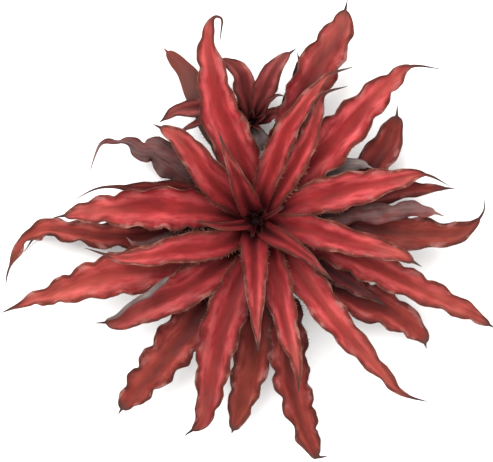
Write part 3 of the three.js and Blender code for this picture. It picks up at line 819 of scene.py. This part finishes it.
class Graph:
    """A node tree under construction, with short ways to add nodes and to join them."""

    def __init__(self, tree: bpy.types.NodeTree) -> None:
        """Keeps the tree."""
        self.tree = tree

    def feed(self, target: Socket, source: Feed) -> None:
        """Joins a socket to another, or sets its value.

        Args:
            target: The input.
            source: An output, a number or a colour.
        """
        if isinstance(source, bpy.types.NodeSocket):
            self.tree.links.new(source, target)
        else:
            target.default_value = source

    def add(
        self, kind: str, feeds: dict[str | int, Feed] | None = None, **settings: object
    ) -> bpy.types.Node:
        """Adds a node.

        Args:
            kind: Its type without the leading ShaderNode.
            feeds: What goes into its inputs, by name or number.
            **settings: Its own properties.

        Returns:
            The node.
        """
        node = self.tree.nodes.new("ShaderNode" + kind)
        for name, value in settings.items():
            setattr(node, name, value)
        for key, source in (feeds or {}).items():
            self.feed(node.inputs[key], source)
        return node

    def math(self, operation: str, *values: Feed) -> Socket:
        """The outcome of a Math node."""
        return self.add("Math", dict(enumerate(values)), operation=operation).outputs[0]

    def times(self, *values: Feed) -> Socket:
        """The product of the values, worked out from left to right."""
        return reduce(lambda product, value: self.math("MULTIPLY", product, value), values)

    def line(self, value: Feed, slope: float, start: Feed) -> Socket:
        """The value times a slope, plus a start."""
        return self.math("MULTIPLY_ADD", value, slope, start)

    def ease(self, value: Feed, low: Feed, high: Feed, start: float = 0.0, stop: float = 1.0) -> Socket:
        """A smoothstep from start to stop while the value goes from low to high.

        Args:
            value: What is read.
            low: Where the step begins.
            high: Where it ends.
            start: The outcome below low.
            stop: The outcome above high.

        Returns:
            The eased value.
        """
        feeds = {"Value": value, "From Min": low, "From Max": high, "To Min": start, "To Max": stop}
        return self.add("MapRange", feeds, interpolation_type="SMOOTHSTEP").outputs[0]

    def mix(self, factor: Feed, base: Feed, top: Feed, blend: str = "MIX") -> Socket:
        """A colour between two, or one blended on the other.

        Args:
            factor: How much of the top.
            base: The colour under it.
            top: The colour over it.
            blend: The way they mix.

        Returns:
            The colour.
        """
        node = self.add("Mix", data_type="RGBA", blend_type=blend)
        self.feed(node.inputs["Factor"], factor)
        self.feed(node.inputs[MIX_BASE], base)
        self.feed(node.inputs[MIX_TOP], top)
        return node.outputs[MIX_COLOUR]

    def layered(self, colour: Feed, *layers: tuple[Feed, Feed]) -> Feed:
        """A colour under others laid on in turn, each given as how much of it and the colour."""
        return reduce(lambda below, layer: self.mix(layer[0], below, layer[1]), layers, colour)

    def noise(self, vector: Feed, stretch: tuple[float, float, float], detail: float = 2.0) -> Socket:
        """Noise from 0 to 1 at a vector, stretched first so that its grain runs the right way.

        Args:
            vector: Where it is read.
            stretch: Multiplies the vector's parts.
            detail: How many finer layers it has.

        Returns:
            The noise's value.
        """
        place = self.add("VectorMath", {0: vector, 1: stretch}, operation="MULTIPLY").outputs[0]
        return self.add("TexNoise", {"Vector": place, "Scale": 1.0, "Detail": detail}).outputs[0]

    def mark(self, name: str, kind: str = "Fac") -> Socket:
        """A mark of the mesh, read as a number or, by the kind Vector, as three."""
        return self.add("Attribute", attribute_name=name).outputs[kind]

    def parts(self, vector: Feed) -> tuple[Socket, Socket, Socket]:
        """The three parts of a vector."""
        first, second, third = self.add("SeparateXYZ", {0: vector}).outputs
        return first, second, third

    def surface(self, colour: Feed, rough: Feed, height: Feed, strength: float, depth: float) -> None:
        """Ends a material in its Principled shader, with a bump for its normal.

        Args:
            colour: The base colour.
            rough: The roughness.
            height: What the bump rises with.
            strength: How much of the bump shows.
            depth: How far it rises, in metres, as its height goes from 0 to 1.
        """
        shader = self.tree.nodes["Principled BSDF"]
        bump = self.add("Bump", {"Height": height, "Strength": strength, "Distance": depth}).outputs[0]
        feeds = {"Base Color": colour, "Roughness": rough, "Normal": bump, "Specular IOR Level": SHEEN}
        for name, value in feeds.items():
            self.feed(shader.inputs[name], value)


class Effect:
    """A shader node group that several materials place, each with its own values."""

    inputs: tuple[tuple[str, str], ...] = ()
    outputs: tuple[tuple[str, str], ...] = ()
    name = ""

    def __init__(self) -> None:
        """Makes the group once."""
        self.tree = bpy.data.node_groups.new(self.name, "ShaderNodeTree")
        for way, sockets in (("INPUT", self.inputs), ("OUTPUT", self.outputs)):
            for name, kind in sockets:
                self.tree.interface.new_socket(name, in_out=way, socket_type="NodeSocket" + kind)
        graph = Graph(self.tree)
        source = self.tree.nodes.new("NodeGroupInput").outputs
        target = self.tree.nodes.new("NodeGroupOutput").inputs
        for name, value in self.build(graph, source).items():
            graph.feed(target[name], value)

    def build(self, graph: Graph, source: bpy.types.NodeOutputs) -> dict[str, Socket]:
        """Lays the group's nodes out; each effect has its own."""
        raise NotImplementedError

    def place(self, graph: Graph, feeds: dict[str, Feed]) -> bpy.types.NodeOutputs:
        """Puts the group into a material.

        Args:
            graph: The material's nodes.
            feeds: What goes into the group, by name.

        Returns:
            The group's outputs.
        """
        return graph.add("Group", feeds, node_tree=self.tree).outputs


class Stripes(Effect):
    """The colours of a blade: a dull middle, bright bands lightened with a painted highlight, a drab margin
    with painted light and shade, a dark heart, a dry tip and painted shade under other leaves.
    """

    name = "stripes"
    inputs = (
        ("Blade", "Vector"), ("Ground", "Vector"), ("Trait", "Vector"), ("Heart", "Float"), ("Dry", "Float"),
        ("Cover", "Float"), ("Dusk", "Float"), ("Middle Width", "Float"), ("Margin Width", "Float"),
        ("Heart Reach", "Float"), ("Middle", "Color"), ("Flank", "Color"), ("Band_And_Highlight", "Color"),
        ("Margin", "Color"), ("Root", "Color"), ("Tip", "Color"), ("Faded", "Color"), ("Dried", "Color"),
        ("Rim", "Color"), ("Painted_Wave_Light", "Color"),
    )
    outputs = (("Color", "Color"), ("Margin", "Float"))

    def build(self, graph: Graph, source: bpy.types.NodeOutputs) -> dict[str, Socket]:
        """Mixes the colours by smooth steps over the distance from the midrib and over the length.

        Args:
            graph: The group's nodes.
            source: The group's inputs.

        Returns:
            The outputs by name.
        """
        share, across, edge = graph.parts(source["Blade"])
        tone, fade, stripe = graph.parts(source["Trait"])
        ground, reach, root = source["Ground"], source["Heart Reach"], source["Root"]
        drift = graph.noise(ground, (0.05, 0.1, 1.0))
        blotch = graph.noise(ground, (0.07, 0.22, 1.0))
        streak = graph.noise(ground, (0.05, 1.5, 1.0))
        fine = graph.noise(ground, (0.18, 4.6, 1.0), 1.0)
        cloud = graph.noise(ground, (0.045, 0.13, 1.0), 3.0)
        spots = graph.noise(ground, (0.1, 0.2, 1.0), 3.0)
        away = graph.math("SUBTRACT", drift, 0.5)
        mottle = graph.math("SUBTRACT", blotch, 0.5)
        aside = graph.math("ABSOLUTE", across)
        off = graph.line(away, 0.4, aside)
        width = graph.times(source["Middle Width"], stripe)
        spread = graph.ease(off, graph.times(width, 0.1), graph.times(width, 1.7))
        dusk = graph.times(source["Dusk"], graph.line(spread, -0.5, 0.72))
        dusk = graph.times(dusk, graph.ease(drift, 0.34, 0.6, 0.6, 1.1))
        # The bright band: the leaf's own pink stripe, made lighter so that it also carries a painted
        # highlight along the blade
        rise = graph.ease(off, graph.times(width, 0.5), graph.math("ADD", width, 0.26))
        fall = graph.ease(off, 0.5, 0.94, 1.0, 0.05)
        patchy = graph.math("ADD", blotch, graph.times(away, 0.5))
        band_and_highlight = graph.times(rise, fall, graph.ease(patchy, 0.3, 0.64, 0.15, 1.0))
        outer = graph.ease(source["Heart"], graph.times(reach, 0.5), graph.times(reach, 2.1))
        band_and_highlight = graph.times(band_and_highlight, graph.line(outer, 0.65, 0.35), graph.line(source["Dusk"], -0.45, 1.0))
        tip = graph.times(graph.ease(share, 0.5, 0.95), graph.ease(drift, 0.3, 0.66, 0.3, 0.9))
        aged = graph.ease(graph.line(mottle, 0.7, share), 0.1, 0.75, 0.0, 0.85)
        inner = graph.times(source["Margin Width"], graph.ease(cloud, 0.32, 0.66, 0.6, 2.1))
        margin = graph.ease(graph.line(mottle, 2.4, edge), graph.times(inner, 0.3), inner, 1.0, 0.0)
        margin = graph.times(margin, graph.ease(source["Heart"], 6.0, 22.0))
        # Painted light and shade of the waves near the margin: pale pink patches stand for light caught on
        # the waves, dark patches for shade
        hem = graph.ease(aside, 0.4, 0.9)
        pale = graph.times(hem, graph.ease(spots, 0.5, 0.66, 0.0, 0.5))
        dark = graph.times(hem, graph.ease(spots, 0.34, 0.48, 0.55, 0.0))
        near = graph.line(aside, 12.0, graph.line(mottle, 12.0, source["Heart"]))
        heart = graph.ease(near, graph.times(reach, 0.2), reach, 1.0, 0.0)
        rim = graph.times(graph.ease(edge, 0.1, 0.45, 1.0, 0.0), graph.ease(spots, 0.4, 0.62, 0.1, 0.7))
        rim = graph.times(rim, graph.ease(source["Heart"], 14.0, 34.0))
        colour = graph.layered(
            source["Middle"],
            (spread, source["Flank"]),
            (dusk, root),
            (band_and_highlight, source["Band_And_Highlight"]),
            (tip, source["Tip"]),
            (graph.times(fade, aged), source["Faded"]),
            (graph.times(margin, 0.85), source["Margin"]),
            # Painted light and painted shade of the margin's waves, in pale and dark patches
            (graph.times(pale, outer), source["Painted_Wave_Light"]),
            (dark, graph.mix(0.45, source["Margin"], root)),
            (graph.times(heart, 0.92), root),
            (rim, source["Rim"]),
            # Painted shade: the more leaves stand over a point, the darker it turns towards the root colour
            (graph.times(source["Cover"], 0.75), root),
            (source["Dry"], source["Dried"]),
        )
        shade = graph.ease(streak, 0.25, 0.75, 0.9, 1.08)
        shade = graph.times(shade, graph.ease(fine, 0.3, 0.7, 0.95, 1.04))
        shade = graph.times(shade, graph.ease(cloud, 0.3, 0.7, 0.76, 1.2))
        shade = graph.times(shade, graph.times(tone, graph.line(outer, 0.2, 0.86)))
        return {"Color": graph.mix(1.0, colour, shade, "MULTIPLY"), "Margin": margin}


class Grain(Effect):
    """Fine lines along the blade, with a faint skin between them."""

    name = "grain"
    inputs = (("Ground", "Vector"), ("Depth", "Float"))
    outputs = (("Height", "Float"), ("Lines", "Float"))

    def build(self, graph: Graph, source: bpy.types.NodeOutputs) -> dict[str, Socket]:
        """Adds noise drawn out along the leaf in two widths to an even, smaller noise.

        Args:
            graph: The group's nodes.
            source: The group's inputs.

        Returns:
            The outputs by name.
        """
        ground = source["Ground"]
        lines = graph.noise(ground, (0.07, 3.1, 1.0))
        hair = graph.noise(ground, (0.22, 7.5, 1.0), 1.0)
        skin = graph.noise(ground, (1.7, 2.4, 1.0))
        total = graph.math("ADD", lines, graph.times(hair, 0.5))
        total = graph.math("ADD", total, graph.times(skin, 0.35))
        return {"Height": graph.times(total, source["Depth"]), "Lines": lines}


class Scurf(Effect):
    """The silvery scales of the underside, thicker in lengthwise runs and in patches."""

    name = "scurf"
    inputs = (("Ground", "Vector"), ("Cover", "Float"))
    outputs = (("Mask", "Float"), ("Height", "Float"))

    def build(self, graph: Graph, source: bpy.types.NodeOutputs) -> dict[str, Socket]:
        """Steps a sum of drawn-out, broad and fine noises at a level that the cover sets.

        Args:
            graph: The group's nodes.
            source: The group's inputs.

        Returns:
            The outputs by name.
        """
        ground = source["Ground"]
        runs = graph.noise(ground, (0.05, 1.1, 1.0), 3.0)
        patches = graph.noise(ground, (0.12, 0.2, 1.0), 3.0)
        specks = graph.noise(ground, (1.9, 3.4, 1.0), 3.0)
        total = graph.math("ADD", graph.times(runs, 0.4), graph.times(patches, 0.35))
        total = graph.math("ADD", total, graph.times(specks, 0.25))
        level = graph.math("SUBTRACT", 1.0, source["Cover"])
        mask = graph.ease(total, graph.math("SUBTRACT", level, 0.16), graph.math("ADD", level, 0.16))
        return {"Mask": mask, "Height": graph.times(mask, specks)}


class Bark(Effect):
    """Woody skin on Object coordinates: rings round the stem, cracks and blotches."""

    name = "bark"
    inputs = (("Place", "Vector"), ("Light", "Color"), ("Dark", "Color"))
    outputs = (("Color", "Color"), ("Height", "Float"))

    def build(self, graph: Graph, source: bpy.types.NodeOutputs) -> dict[str, Socket]:
        """Mixes two colours by noise flattened along the height and by finer fibres drawn out along it.

        Args:
            graph: The group's nodes.
            source: The group's inputs.

        Returns:
            The outputs by name.
        """
        place = source["Place"]
        rings = graph.noise(place, (160.0, 160.0, 900.0), 3.0)
        fibres = graph.noise(place, (1500.0, 1500.0, 260.0), 3.0)
        total = graph.math("ADD", graph.times(rings, 0.6), graph.times(fibres, 0.4))
        colour = graph.mix(graph.ease(total, 0.36, 0.62), source["Dark"], source["Light"])
        return {"Color": colour, "Height": total}


@dataclass(frozen=True)
class Palette:
    """The colours of a leaf's upper face, by the names that the stripes give them."""

    middle: Colour
    flank: Colour
    # The pink stripe, made lighter so that it also carries a painted highlight
    band_and_highlight: Colour
    margin: Colour
    # The dark base of a leaf, which the stripes also lay on as painted shade under other leaves
    root: Colour
    tip: Colour
    faded: Colour = (160, 78, 62)
    dried: Colour = (84, 62, 58)
    # The pale pink of the patches painted near the margin as light caught on its waves
    painted_wave_light: Colour = (214, 142, 134)


@dataclass(frozen=True)
class LeafFinish:
    """How the leaves of one whorl look: their colours, the drab parts' widths, sheen and scurf.

    middle_width is a share of the half width, margin_width and heart_reach are in millimetres. skin and
    scales are the colours of the underside, cover how much of it the scales hide, and veil how much of the
    upper face. ash is the colour of scales left on a dead leaf, and worn that of a faded underside.
    """

    name: str
    palette: Palette
    middle_width: float
    margin_width: float
    heart_reach: float
    roughness: float
    skin: Colour
    scales: Colour
    cover: float
    veil: float
    horn: Colour
    horn_point: Colour
    ash: Colour = (184, 168, 164)
    worn: Colour = (128, 95, 86)

    def end(self, graph: Graph, colour: Feed, rough: Feed, height: Feed) -> None:
        """Ends a material of the leaf, with a bump of a tenth of a millimetre."""
        graph.surface(colour, rough, height, 0.6, 0.0001)

    def upper(self, stripes: Stripes, grain: Grain, scurf: Scurf) -> bpy.types.Material:
        """The striped upper face, under a thin veil of scales.

        Args:
            stripes: The effect for the colours.
            grain: The effect for the fine lines.
            scurf: The effect for the veil.

        Returns:
            The material.
        """
        material, graph = new_material(self.name + "_upper")
        ground = graph.mark("ground", "Vector")
        striped = stripes.place(graph, {
            **{part.title(): linear(colour) for part, colour in vars(self.palette).items()},
            "Blade": graph.mark("blade", "Vector"),
            "Ground": ground,
            "Trait": graph.mark("trait", "Vector"),
            "Heart": graph.mark("heart"),
            "Dry": graph.mark("dry"),
            "Rim": linear(self.horn_point, 0.9),
            "Middle Width": self.middle_width,
            "Margin Width": self.margin_width,
            "Heart Reach": self.heart_reach,
            "Cover": graph.mark("cover"),
            "Dusk": graph.mark("dusk"),
        })
        veil = scurf.place(graph, {"Ground": ground, "Cover": 0.5})
        lines = grain.place(graph, {"Ground": ground, "Depth": 1.0})
        amount = graph.times(veil["Mask"], self.veil)
        colour = graph.mix(amount, striped["Color"], linear(self.scales))
        rough = graph.line(lines["Lines"], 0.12, self.roughness - 0.06)
        rough = graph.line(striped["Margin"], 0.15, rough)
        rough = graph.line(graph.mark("dry"), 0.2, rough)
        self.end(graph, colour, rough, lines["Height"])
        return material

    def under(self, grain: Grain, scurf: Scurf) -> bpy.types.Material:
        """The scurfy underside, bare near the margin, with painted shade where other leaves stand over it.

        Args:
            grain: The effect for the fine lines.
            scurf: The effect for the scales.

        Returns:
            The material.
        """
        material, graph = new_material(self.name + "_under")
        ground = graph.mark("ground", "Vector")
        share, _, edge = graph.parts(graph.mark("blade", "Vector"))
        scales = scurf.place(graph, {"Ground": ground, "Cover": self.cover})
        lines = grain.place(graph, {"Ground": ground, "Depth": 1.0})
        tone, fade, _ = graph.parts(graph.mark("trait", "Vector"))
        ashen = graph.mark("ash")
        streaks = graph.ease(lines["Lines"], 0.3, 0.7)
        flush = graph.ease(graph.noise(ground, (0.06, 0.14, 1.0)), 0.42, 0.6, 0.0, 0.85)
        inward = graph.ease(edge, 0.2, 1.6, 0.35, 1.0)
        pale = graph.mix(ashen, linear(self.scales, 0.8), linear(self.ash))
        colour = graph.layered(
            linear(self.skin, 0.8),
            (streaks, linear(self.skin)),
            (graph.times(flush, graph.math("SUBTRACT", 1.0, ashen)), linear(self.palette.flank)),
            (graph.times(ashen, 0.7), linear(self.ash, 0.55)),
            (graph.times(scales["Mask"], inward, 0.9), pale),
            (graph.times(fade, 0.85), linear(self.worn)),
            (graph.times(fade, graph.ease(share, 0.45, 1.0, 0.0, 0.75)), linear(self.palette.tip, 0.7)),
            (graph.times(graph.mark("dry"), graph.ease(ashen, 0.0, 0.3)), linear(self.ash)),
            (graph.times(graph.ease(edge, 0.15, 0.7, 0.7, 0.0), ashen), linear(self.skin, 0.7)),
            # Painted shade: darker towards the root colour where other leaves stand over it
            (graph.times(graph.mark("cover"), 0.85), linear(self.palette.root)),
        )
        colour = graph.mix(1.0, colour, tone, "MULTIPLY")
        rough = graph.line(scales["Mask"], 0.16, 0.52)
        height = graph.math("ADD", lines["Height"], graph.times(scales["Height"], 1.5))
        self.end(graph, colour, rough, height)
        return material

    def horned(self) -> bpy.types.Material:
        """The teeth: drab at the foot and pale at the point, darker near the plant's heart, with painted
        shade where other leaves stand over them.

        Returns:
            The material.
        """
        material, graph = new_material(self.name + "_teeth")
        point = graph.ease(graph.mark("horn"), 0.1, 0.75)
        speck = graph.noise(graph.mark("ground", "Vector"), (0.4, 0.4, 1.0), 1.0)
        flecks = graph.ease(speck, 0.35, 0.65)
        pale = graph.mix(flecks, linear(self.horn_point, 0.6), linear(self.horn_point))
        colour = graph.mix(point, linear(self.horn), pale)
        # Darker near the plant's heart, and painted shade where other leaves stand over a tooth: both turn it
        # towards the root colour
        deep = graph.ease(graph.mark("heart"), 9.0, 27.0, 0.85, 0.0)
        cover = graph.times(graph.mark("cover"), 0.6)
        deep = graph.math("MAXIMUM", deep, cover)
        self.end(graph, graph.mix(deep, colour, linear(self.palette.root)), 0.5, speck)
        return material


def new_material(name: str) -> tuple[bpy.types.Material, Graph]:
    """An empty material that uses nodes.

    Args:
        name: The material's name.

    Returns:
        The material and its graph.
    """
    material = bpy.data.materials.new(name)
    material.use_nodes = True
    return material, Graph(material.node_tree)


@dataclass(frozen=True)
class StemFinish:
    """The woody skin of the stems, near black at their tops as the new growth's dark red deepened into
    painted shade of the heart's hollow, and the pale cut face under the main one.
    """

    light: Colour = (134, 104, 82)
    dark: Colour = (66, 46, 38)
    fresh_and_shade: Colour = (24, 7, 10)
    pith: Colour = (186, 160, 126)

    def material(self, bark: Bark) -> bpy.types.Material:
        """Bark that passes into near black at the growing point, its new growth's dark red deepened as
        painted shade of the hollow, and into pith on the cut face.

        Args:
            bark: The effect for the woody skin.

        Returns:
            The material.
        """
        material, graph = new_material("stem_skin")
        place = graph.add("TexCoord").outputs["Object"]
        _, _, height = graph.parts(place)
        skin = bark.place(graph, {"Place": place, "Light": linear(self.light), "Dark": linear(self.dark)})
        cut = graph.ease(height, 0.0001, 0.0006, 1.0, 0.0)
        # Near black at the top: the new growth's dark red, deepened as painted shade of the hollow
        layers = ((graph.mark("fresh_and_shade"), linear(self.fresh_and_shade)), (cut, linear(self.pith)))
        colour = graph.layered(skin["Color"], *layers)
        graph.surface(colour, 0.72, skin["Height"], 0.7, 0.0004)
        return material


BRIGHT = Palette((158, 44, 43), (174, 43, 49), (234, 97, 98), (106, 51, 42), (38, 8, 14), (196, 96, 86))
YOUNG = Palette((146, 40, 41), (166, 41, 47), (232, 98, 99), (102, 51, 44), (34, 8, 13), (190, 92, 84))
DULL = Palette((122, 37, 34), (152, 43, 42), (212, 98, 90), (92, 48, 41), (42, 9, 15), (152, 60, 50),
               (154, 70, 54))
WITHERED = Palette((82, 22, 28), (124, 26, 34), (142, 46, 50), (84, 40, 38), (30, 8, 13), (112, 64, 60))
SEEDLING = Palette((112, 44, 42), (138, 48, 49), (194, 96, 92), (92, 52, 47), (30, 10, 14), (150, 76, 70))

FINISHES = {
    "leaf_young": LeafFinish(
        "young", YOUNG, 0.22, 1.7, 32.0, 0.44, (104, 50, 48), (150, 120, 116), 0.46, 0.02, (92, 44, 38),
        (186, 130, 106)),
    "leaf_bright": LeafFinish(
        "bright", BRIGHT, 0.25, 2.2, 36.0, 0.46, (106, 48, 46), (150, 112, 106), 0.42, 0.02, (92, 44, 38),
        (186, 130, 106)),
    "leaf_dull": LeafFinish(
        "dull", DULL, 0.3, 2.4, 52.0, 0.5, (96, 44, 44), (152, 122, 120), 0.5, 0.05, (70, 36, 32),
        (150, 102, 84), (174, 136, 130)),
    "leaf_withered": LeafFinish(
        "withered", WITHERED, 0.34, 2.0, 50.0, 0.62, (84, 48, 46), (150, 128, 124), 0.54, 0.03, (70, 46, 40),
        (134, 106, 88)),
    "leaf_offset": LeafFinish(
        "offset", SEEDLING, 0.28, 1.3, 20.0, 0.46, (92, 46, 46), (152, 122, 120), 0.5, 0.03, (70, 36, 34),
        (156, 108, 92), (190, 174, 170)),
}


@dataclass
class Whorl:
    """The leaves of one age, which stand for the nodes of the same name."""

    name: str
    leaves: tuple[Leaf, ...]
    slots: tuple[str, ...]
    first_index: int
    profile: tuple[tuple[float, float], ...] = STEM_PROFILE
    place: Array = field(default_factory=lambda: np.zeros(3))
    sizes: dict[str, float] = field(default_factory=dict)
    in_part: bool = True
    blades: list[Blade] = field(init=False)

    def __post_init__(self) -> None:
        """Works out the surface of each leaf."""
        self.blades = [
            Blade(leaf, self.first_index + k, self.profile, self.place, **self.sizes)
            for k, leaf in enumerate(self.leaves)
        ]

    def build(self, dress: dict[str, list[bpy.types.Material]], canopy: ShadeCanopy) -> None:
        """Makes one closed piece a leaf, blade and teeth, in its node's stead if the part has one.

        Args:
            dress: The upper, under and tooth materials by slot.
            canopy: What the leaves' covered places, where shade is painted, are read from.
        """
        for k, (blade, slot) in enumerate(zip(self.blades, self.slots)):
            node = f"{self.name}_{k + 1}"
            form = blade.shell().joined(blade.teeth()) if blade.leaf.spines else blade.shell()
            # The cover mark, which the materials paint as shade under other leaves
            form.marks["cover"] = canopy.cover(form.points)
            piece = form.piece(f"{node}_blade", dress[slot])
            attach(piece, "root")
            if self.in_part:
                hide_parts(node)
            LOG.info("%s: %d faces", piece.name, len(piece.data.polygons))


@dataclass
class Stem:
    """The plant's stem, its runner and the offset's stem, as closed turned and drawn forms in one piece."""

    sides: int = 72
    rows: int = 110
    runner_radius: float = 2.25
    runner_rings: int = 90
    runner_sides: int = 24
    scar_depth: float = 0.35
    scar_pitch: float = 4.6
    offset_scar_pitch: float = 3.1

    def turned(self, profile: tuple[tuple[float, float], ...], place: Array, scar_pitch: float) -> Patch:
        """A turned stem with the scars of fallen leaves.

        The radius follows the profile's rows and is cut by the scar depth times a power of a sine over the
        height, whose phase climbs once round the stem, so that the scars wind. It closes on its axis.

        Args:
            profile: Rows of radius and height.
            place: Where the axis stands.
            scar_pitch: The height from one scar to the next.

        Returns:
            The stem.
        """
        radii, heights = (np.array(part, float) for part in zip(*profile))
        height = np.concatenate(([heights[0]], np.linspace(heights[0], heights[-1], self.rows)))[:, None]
        angle = np.linspace(0, 2 * np.pi, self.sides, endpoint=False)[None, :]
        radius = np.interp(height, heights, radii)
        sway = SCAR_SWAY * np.sin(3 * angle)
        scar = 0.5 + 0.5 * np.sin(2 * np.pi * height / scar_pitch + angle + sway)
        radius = radius - self.scar_depth * scar**SCAR_POWER * (radius > 1)
        radius[0] = 0
        points = np.stack((radius * np.cos(angle), radius * np.sin(angle), height + 0 * angle), axis=-1)
        form = self.tube(points + place)
        # Painted shade: from half its height up the stem darkens to near black, the new growth's dark red
        # deepened into the shade of the hollow
        form.marks["fresh_and_shade"] = smoothstep(form.points[:, 2] / heights[-1], 0.5, 0.66)
        return form

    def tube(self, rings: Array) -> Patch:
        """Rings of points joined into a closed tube, whose two end rings are drawn to one point each.

        Args:
            rings: A grid of rings by sides of x, y and z.

        Returns:
            The tube.
        """
        count, sides, _ = rings.shape
        inner = rings[1:-1].reshape(-1, 3)
        points = np.vstack((inner, rings[0].mean(axis=0), rings[-1].mean(axis=0)))
        near = np.arange(count - 3)[:, None] * sides
        here = np.arange(sides)[None, :]
        there = (here + 1) % sides
        quads = np.stack((near + here, near + there, near + sides + there, near + sides + here), axis=-1)
        foot, top = len(inner), len(inner) + 1
        ends = []
        for base, pole, flip in ((0, foot, True), ((count - 3) * sides, top, False)):
            pair = (base + there[0], base + here[0]) if flip else (base + here[0], base + there[0])
            ends.append(np.stack((*pair, np.full(sides, pole), np.full(sides, pole)), axis=-1))
        quads = np.vstack((quads.reshape(-1, 4), *ends))
        return Patch(points, quads, np.zeros(len(quads), int), {"fresh_and_shade": np.zeros(len(points))})

    def runner(self) -> Patch:
        """The runner: rings along its smooth rib, which swell with a power of a cosine to each joint.

        Returns:
            The runner.
        """
        rib = smooth_path(polar(np.array(RUNNER_RIB, float)), self.runner_rings)
        along = unit(np.gradient(rib, axis=0))
        side = unit(np.cross((0, 0, 1), along))
        up = np.cross(along, side)
        angle = np.linspace(0, 2 * np.pi, self.runner_sides, endpoint=False)
        step = np.linspace(0, 1, len(rib))
        waist, swell = JOINT_SHARES
        radius = waist + swell * np.abs(np.cos(np.pi * JOINTS * step)) ** JOINT_POWER
        radius = self.runner_radius * radius[:, None, None]
        rings = rib[:, None] + radius * (
            side[:, None] * np.cos(angle)[None, :, None] + up[:, None] * np.sin(angle)[None, :, None]
        )
        return self.tube(rings)

    def build(self, material: bpy.types.Material) -> None:
        """Makes the piece in the stem node's stead.

        Args:
            material: The woody skin.
        """
        main = self.turned(STEM_PROFILE, np.zeros(3), self.scar_pitch)
        offset = self.turned(OFFSET_PROFILE, OFFSET_PLACE, self.offset_scar_pitch)
        piece = main.joined(self.runner()).joined(offset).piece("stem_wood", [material])
        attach(piece, "root")
        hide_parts("stem")
        LOG.info("%s: %d faces", piece.name, len(piece.data.polygons))


# Each light's name, place, side and watts
LIGHTS = (("key", (-0.5, 0.7, 1.6), 1.3, 21.0), ("fill", (0.9, -0.6, 1.3), 1.4, 4.0))


@dataclass
class Studio:
    """The pale floor, the soft lights and the camera that looks straight down."""

    floor_size: float = 6.0
    floor_colour: tuple[float, float, float, float] = (0.9, 0.9, 0.89, 1.0)
    floor_roughness: float = 0.9
    sky: float = 0.57
    aim: tuple[float, float, float] = (0, 0, 0.04)
    camera_place: tuple[float, float, float] = (-0.0063, -0.0066, 1.5)
    lens: float = 159.3

    def floor(self) -> None:
        """A wide level sheet under the plant."""
        half = self.floor_size / 2
        corners = np.array(((-half, -half, 0), (half, -half, 0), (half, half, 0), (-half, half, 0)))
        material, graph = new_material("floor_paper")
        shader = graph.tree.nodes["Principled BSDF"]
        graph.feed(shader.inputs["Base Color"], self.floor_colour)
        graph.feed(shader.inputs["Roughness"], self.floor_roughness)
        sheet = Patch(corners / MM, np.array(((0, 1, 2, 3),)), np.zeros(1, int), {})
        sheet.piece("floor", [material])

    def light(self, name: str, place: tuple[float, float, float], size: float, power: float) -> None:
        """A square soft light that faces the plant.

        Args:
            name: The light's name.
            place: Where it hangs.
            size: Its side.
            power: Its strength in watts.
        """
        data = bpy.data.lights.new(name, "AREA")
        data.size = size
        data.energy = power
        lamp = bpy.data.objects.new(name, data)
        lamp.location = place
        lamp.rotation_euler = (Vector(self.aim) - Vector(place)).to_track_quat("-Z", "Y").to_euler()
        bpy.context.scene.collection.objects.link(lamp)

    def build(self) -> None:
        """Sets the scene up round the plant."""
        scene = bpy.context.scene
        self.floor()
        for name, place, size, power in LIGHTS:
            self.light(name, place, size, power * STUDIO_LIGHT)
        world = bpy.data.worlds.new("studio")
        world.use_nodes = True
        background = world.node_tree.nodes["Background"].inputs
        background["Color"].default_value = (1.0, 1.0, 1.0, 1.0)
        background["Strength"].default_value = self.sky * STUDIO_LIGHT
        scene.world = world
        scene.view_settings.view_transform = "Standard"
        camera = bpy.data.objects.new("camera", bpy.data.cameras.new("camera"))
        camera.data.lens = self.lens
        camera.location = self.camera_place
        scene.collection.objects.link(camera)
        scene.camera = camera


def main() -> None:
    """Builds the plant piece by piece, then the studio."""
    logging.basicConfig(level=logging.INFO, format="%(name)s %(message)s")
    stripes, grain, scurf, bark = Stripes(), Grain(), Scurf(), Bark()
    dress = {
        slot: [finish.upper(stripes, grain, scurf), finish.under(grain, scurf), finish.horned()]
        for slot, finish in FINISHES.items()
    }
    spreading = ("leaf_bright",) * 3 + ("leaf_dull",) * 5
    offset = (OFFSET_PROFILE, OFFSET_PLACE)
    whorls = (
        Whorl("heart_leaf", HEART_LEAVES, ("leaf_young",) * 6, 0),
        Whorl("upper_leaf", UPPER_LEAVES, ("leaf_bright",) * 6, 6),
        Whorl("middle_leaf", MIDDLE_LEAVES, ("leaf_bright",) * 7, 12),
        Whorl("spreading_leaf", SPREADING_LEAVES, spreading, 19),
        Whorl("lower_leaf", LOWER_LEAVES, ("leaf_dull",) * 8, 27),
        Whorl("withered_leaf", WITHERED_LEAVES, ("leaf_withered",) * 6, 35),
        Whorl("offset_leaf", OFFSET_LEAVES, ("leaf_offset",) * 8, 41, *offset, SMALL_SIZES),
        Whorl("heart_sheath", HEART_CUP, ("leaf_young",) * 6, 60, sizes=CUP_SIZES, in_part=False),
        Whorl("offset_sheath", OFFSET_CUP, ("leaf_offset",) * 5, 70, *offset, CUP_SIZES, in_part=False),
    )
    canopy = ShadeCanopy([blade for whorl in whorls for blade in whorl.blades])
    Stem().build(StemFinish().material(bark))
    for whorl in whorls:
        whorl.build(dress, canopy)
    Studio().build()
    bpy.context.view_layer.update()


if __name__ == "__main__":
    main()
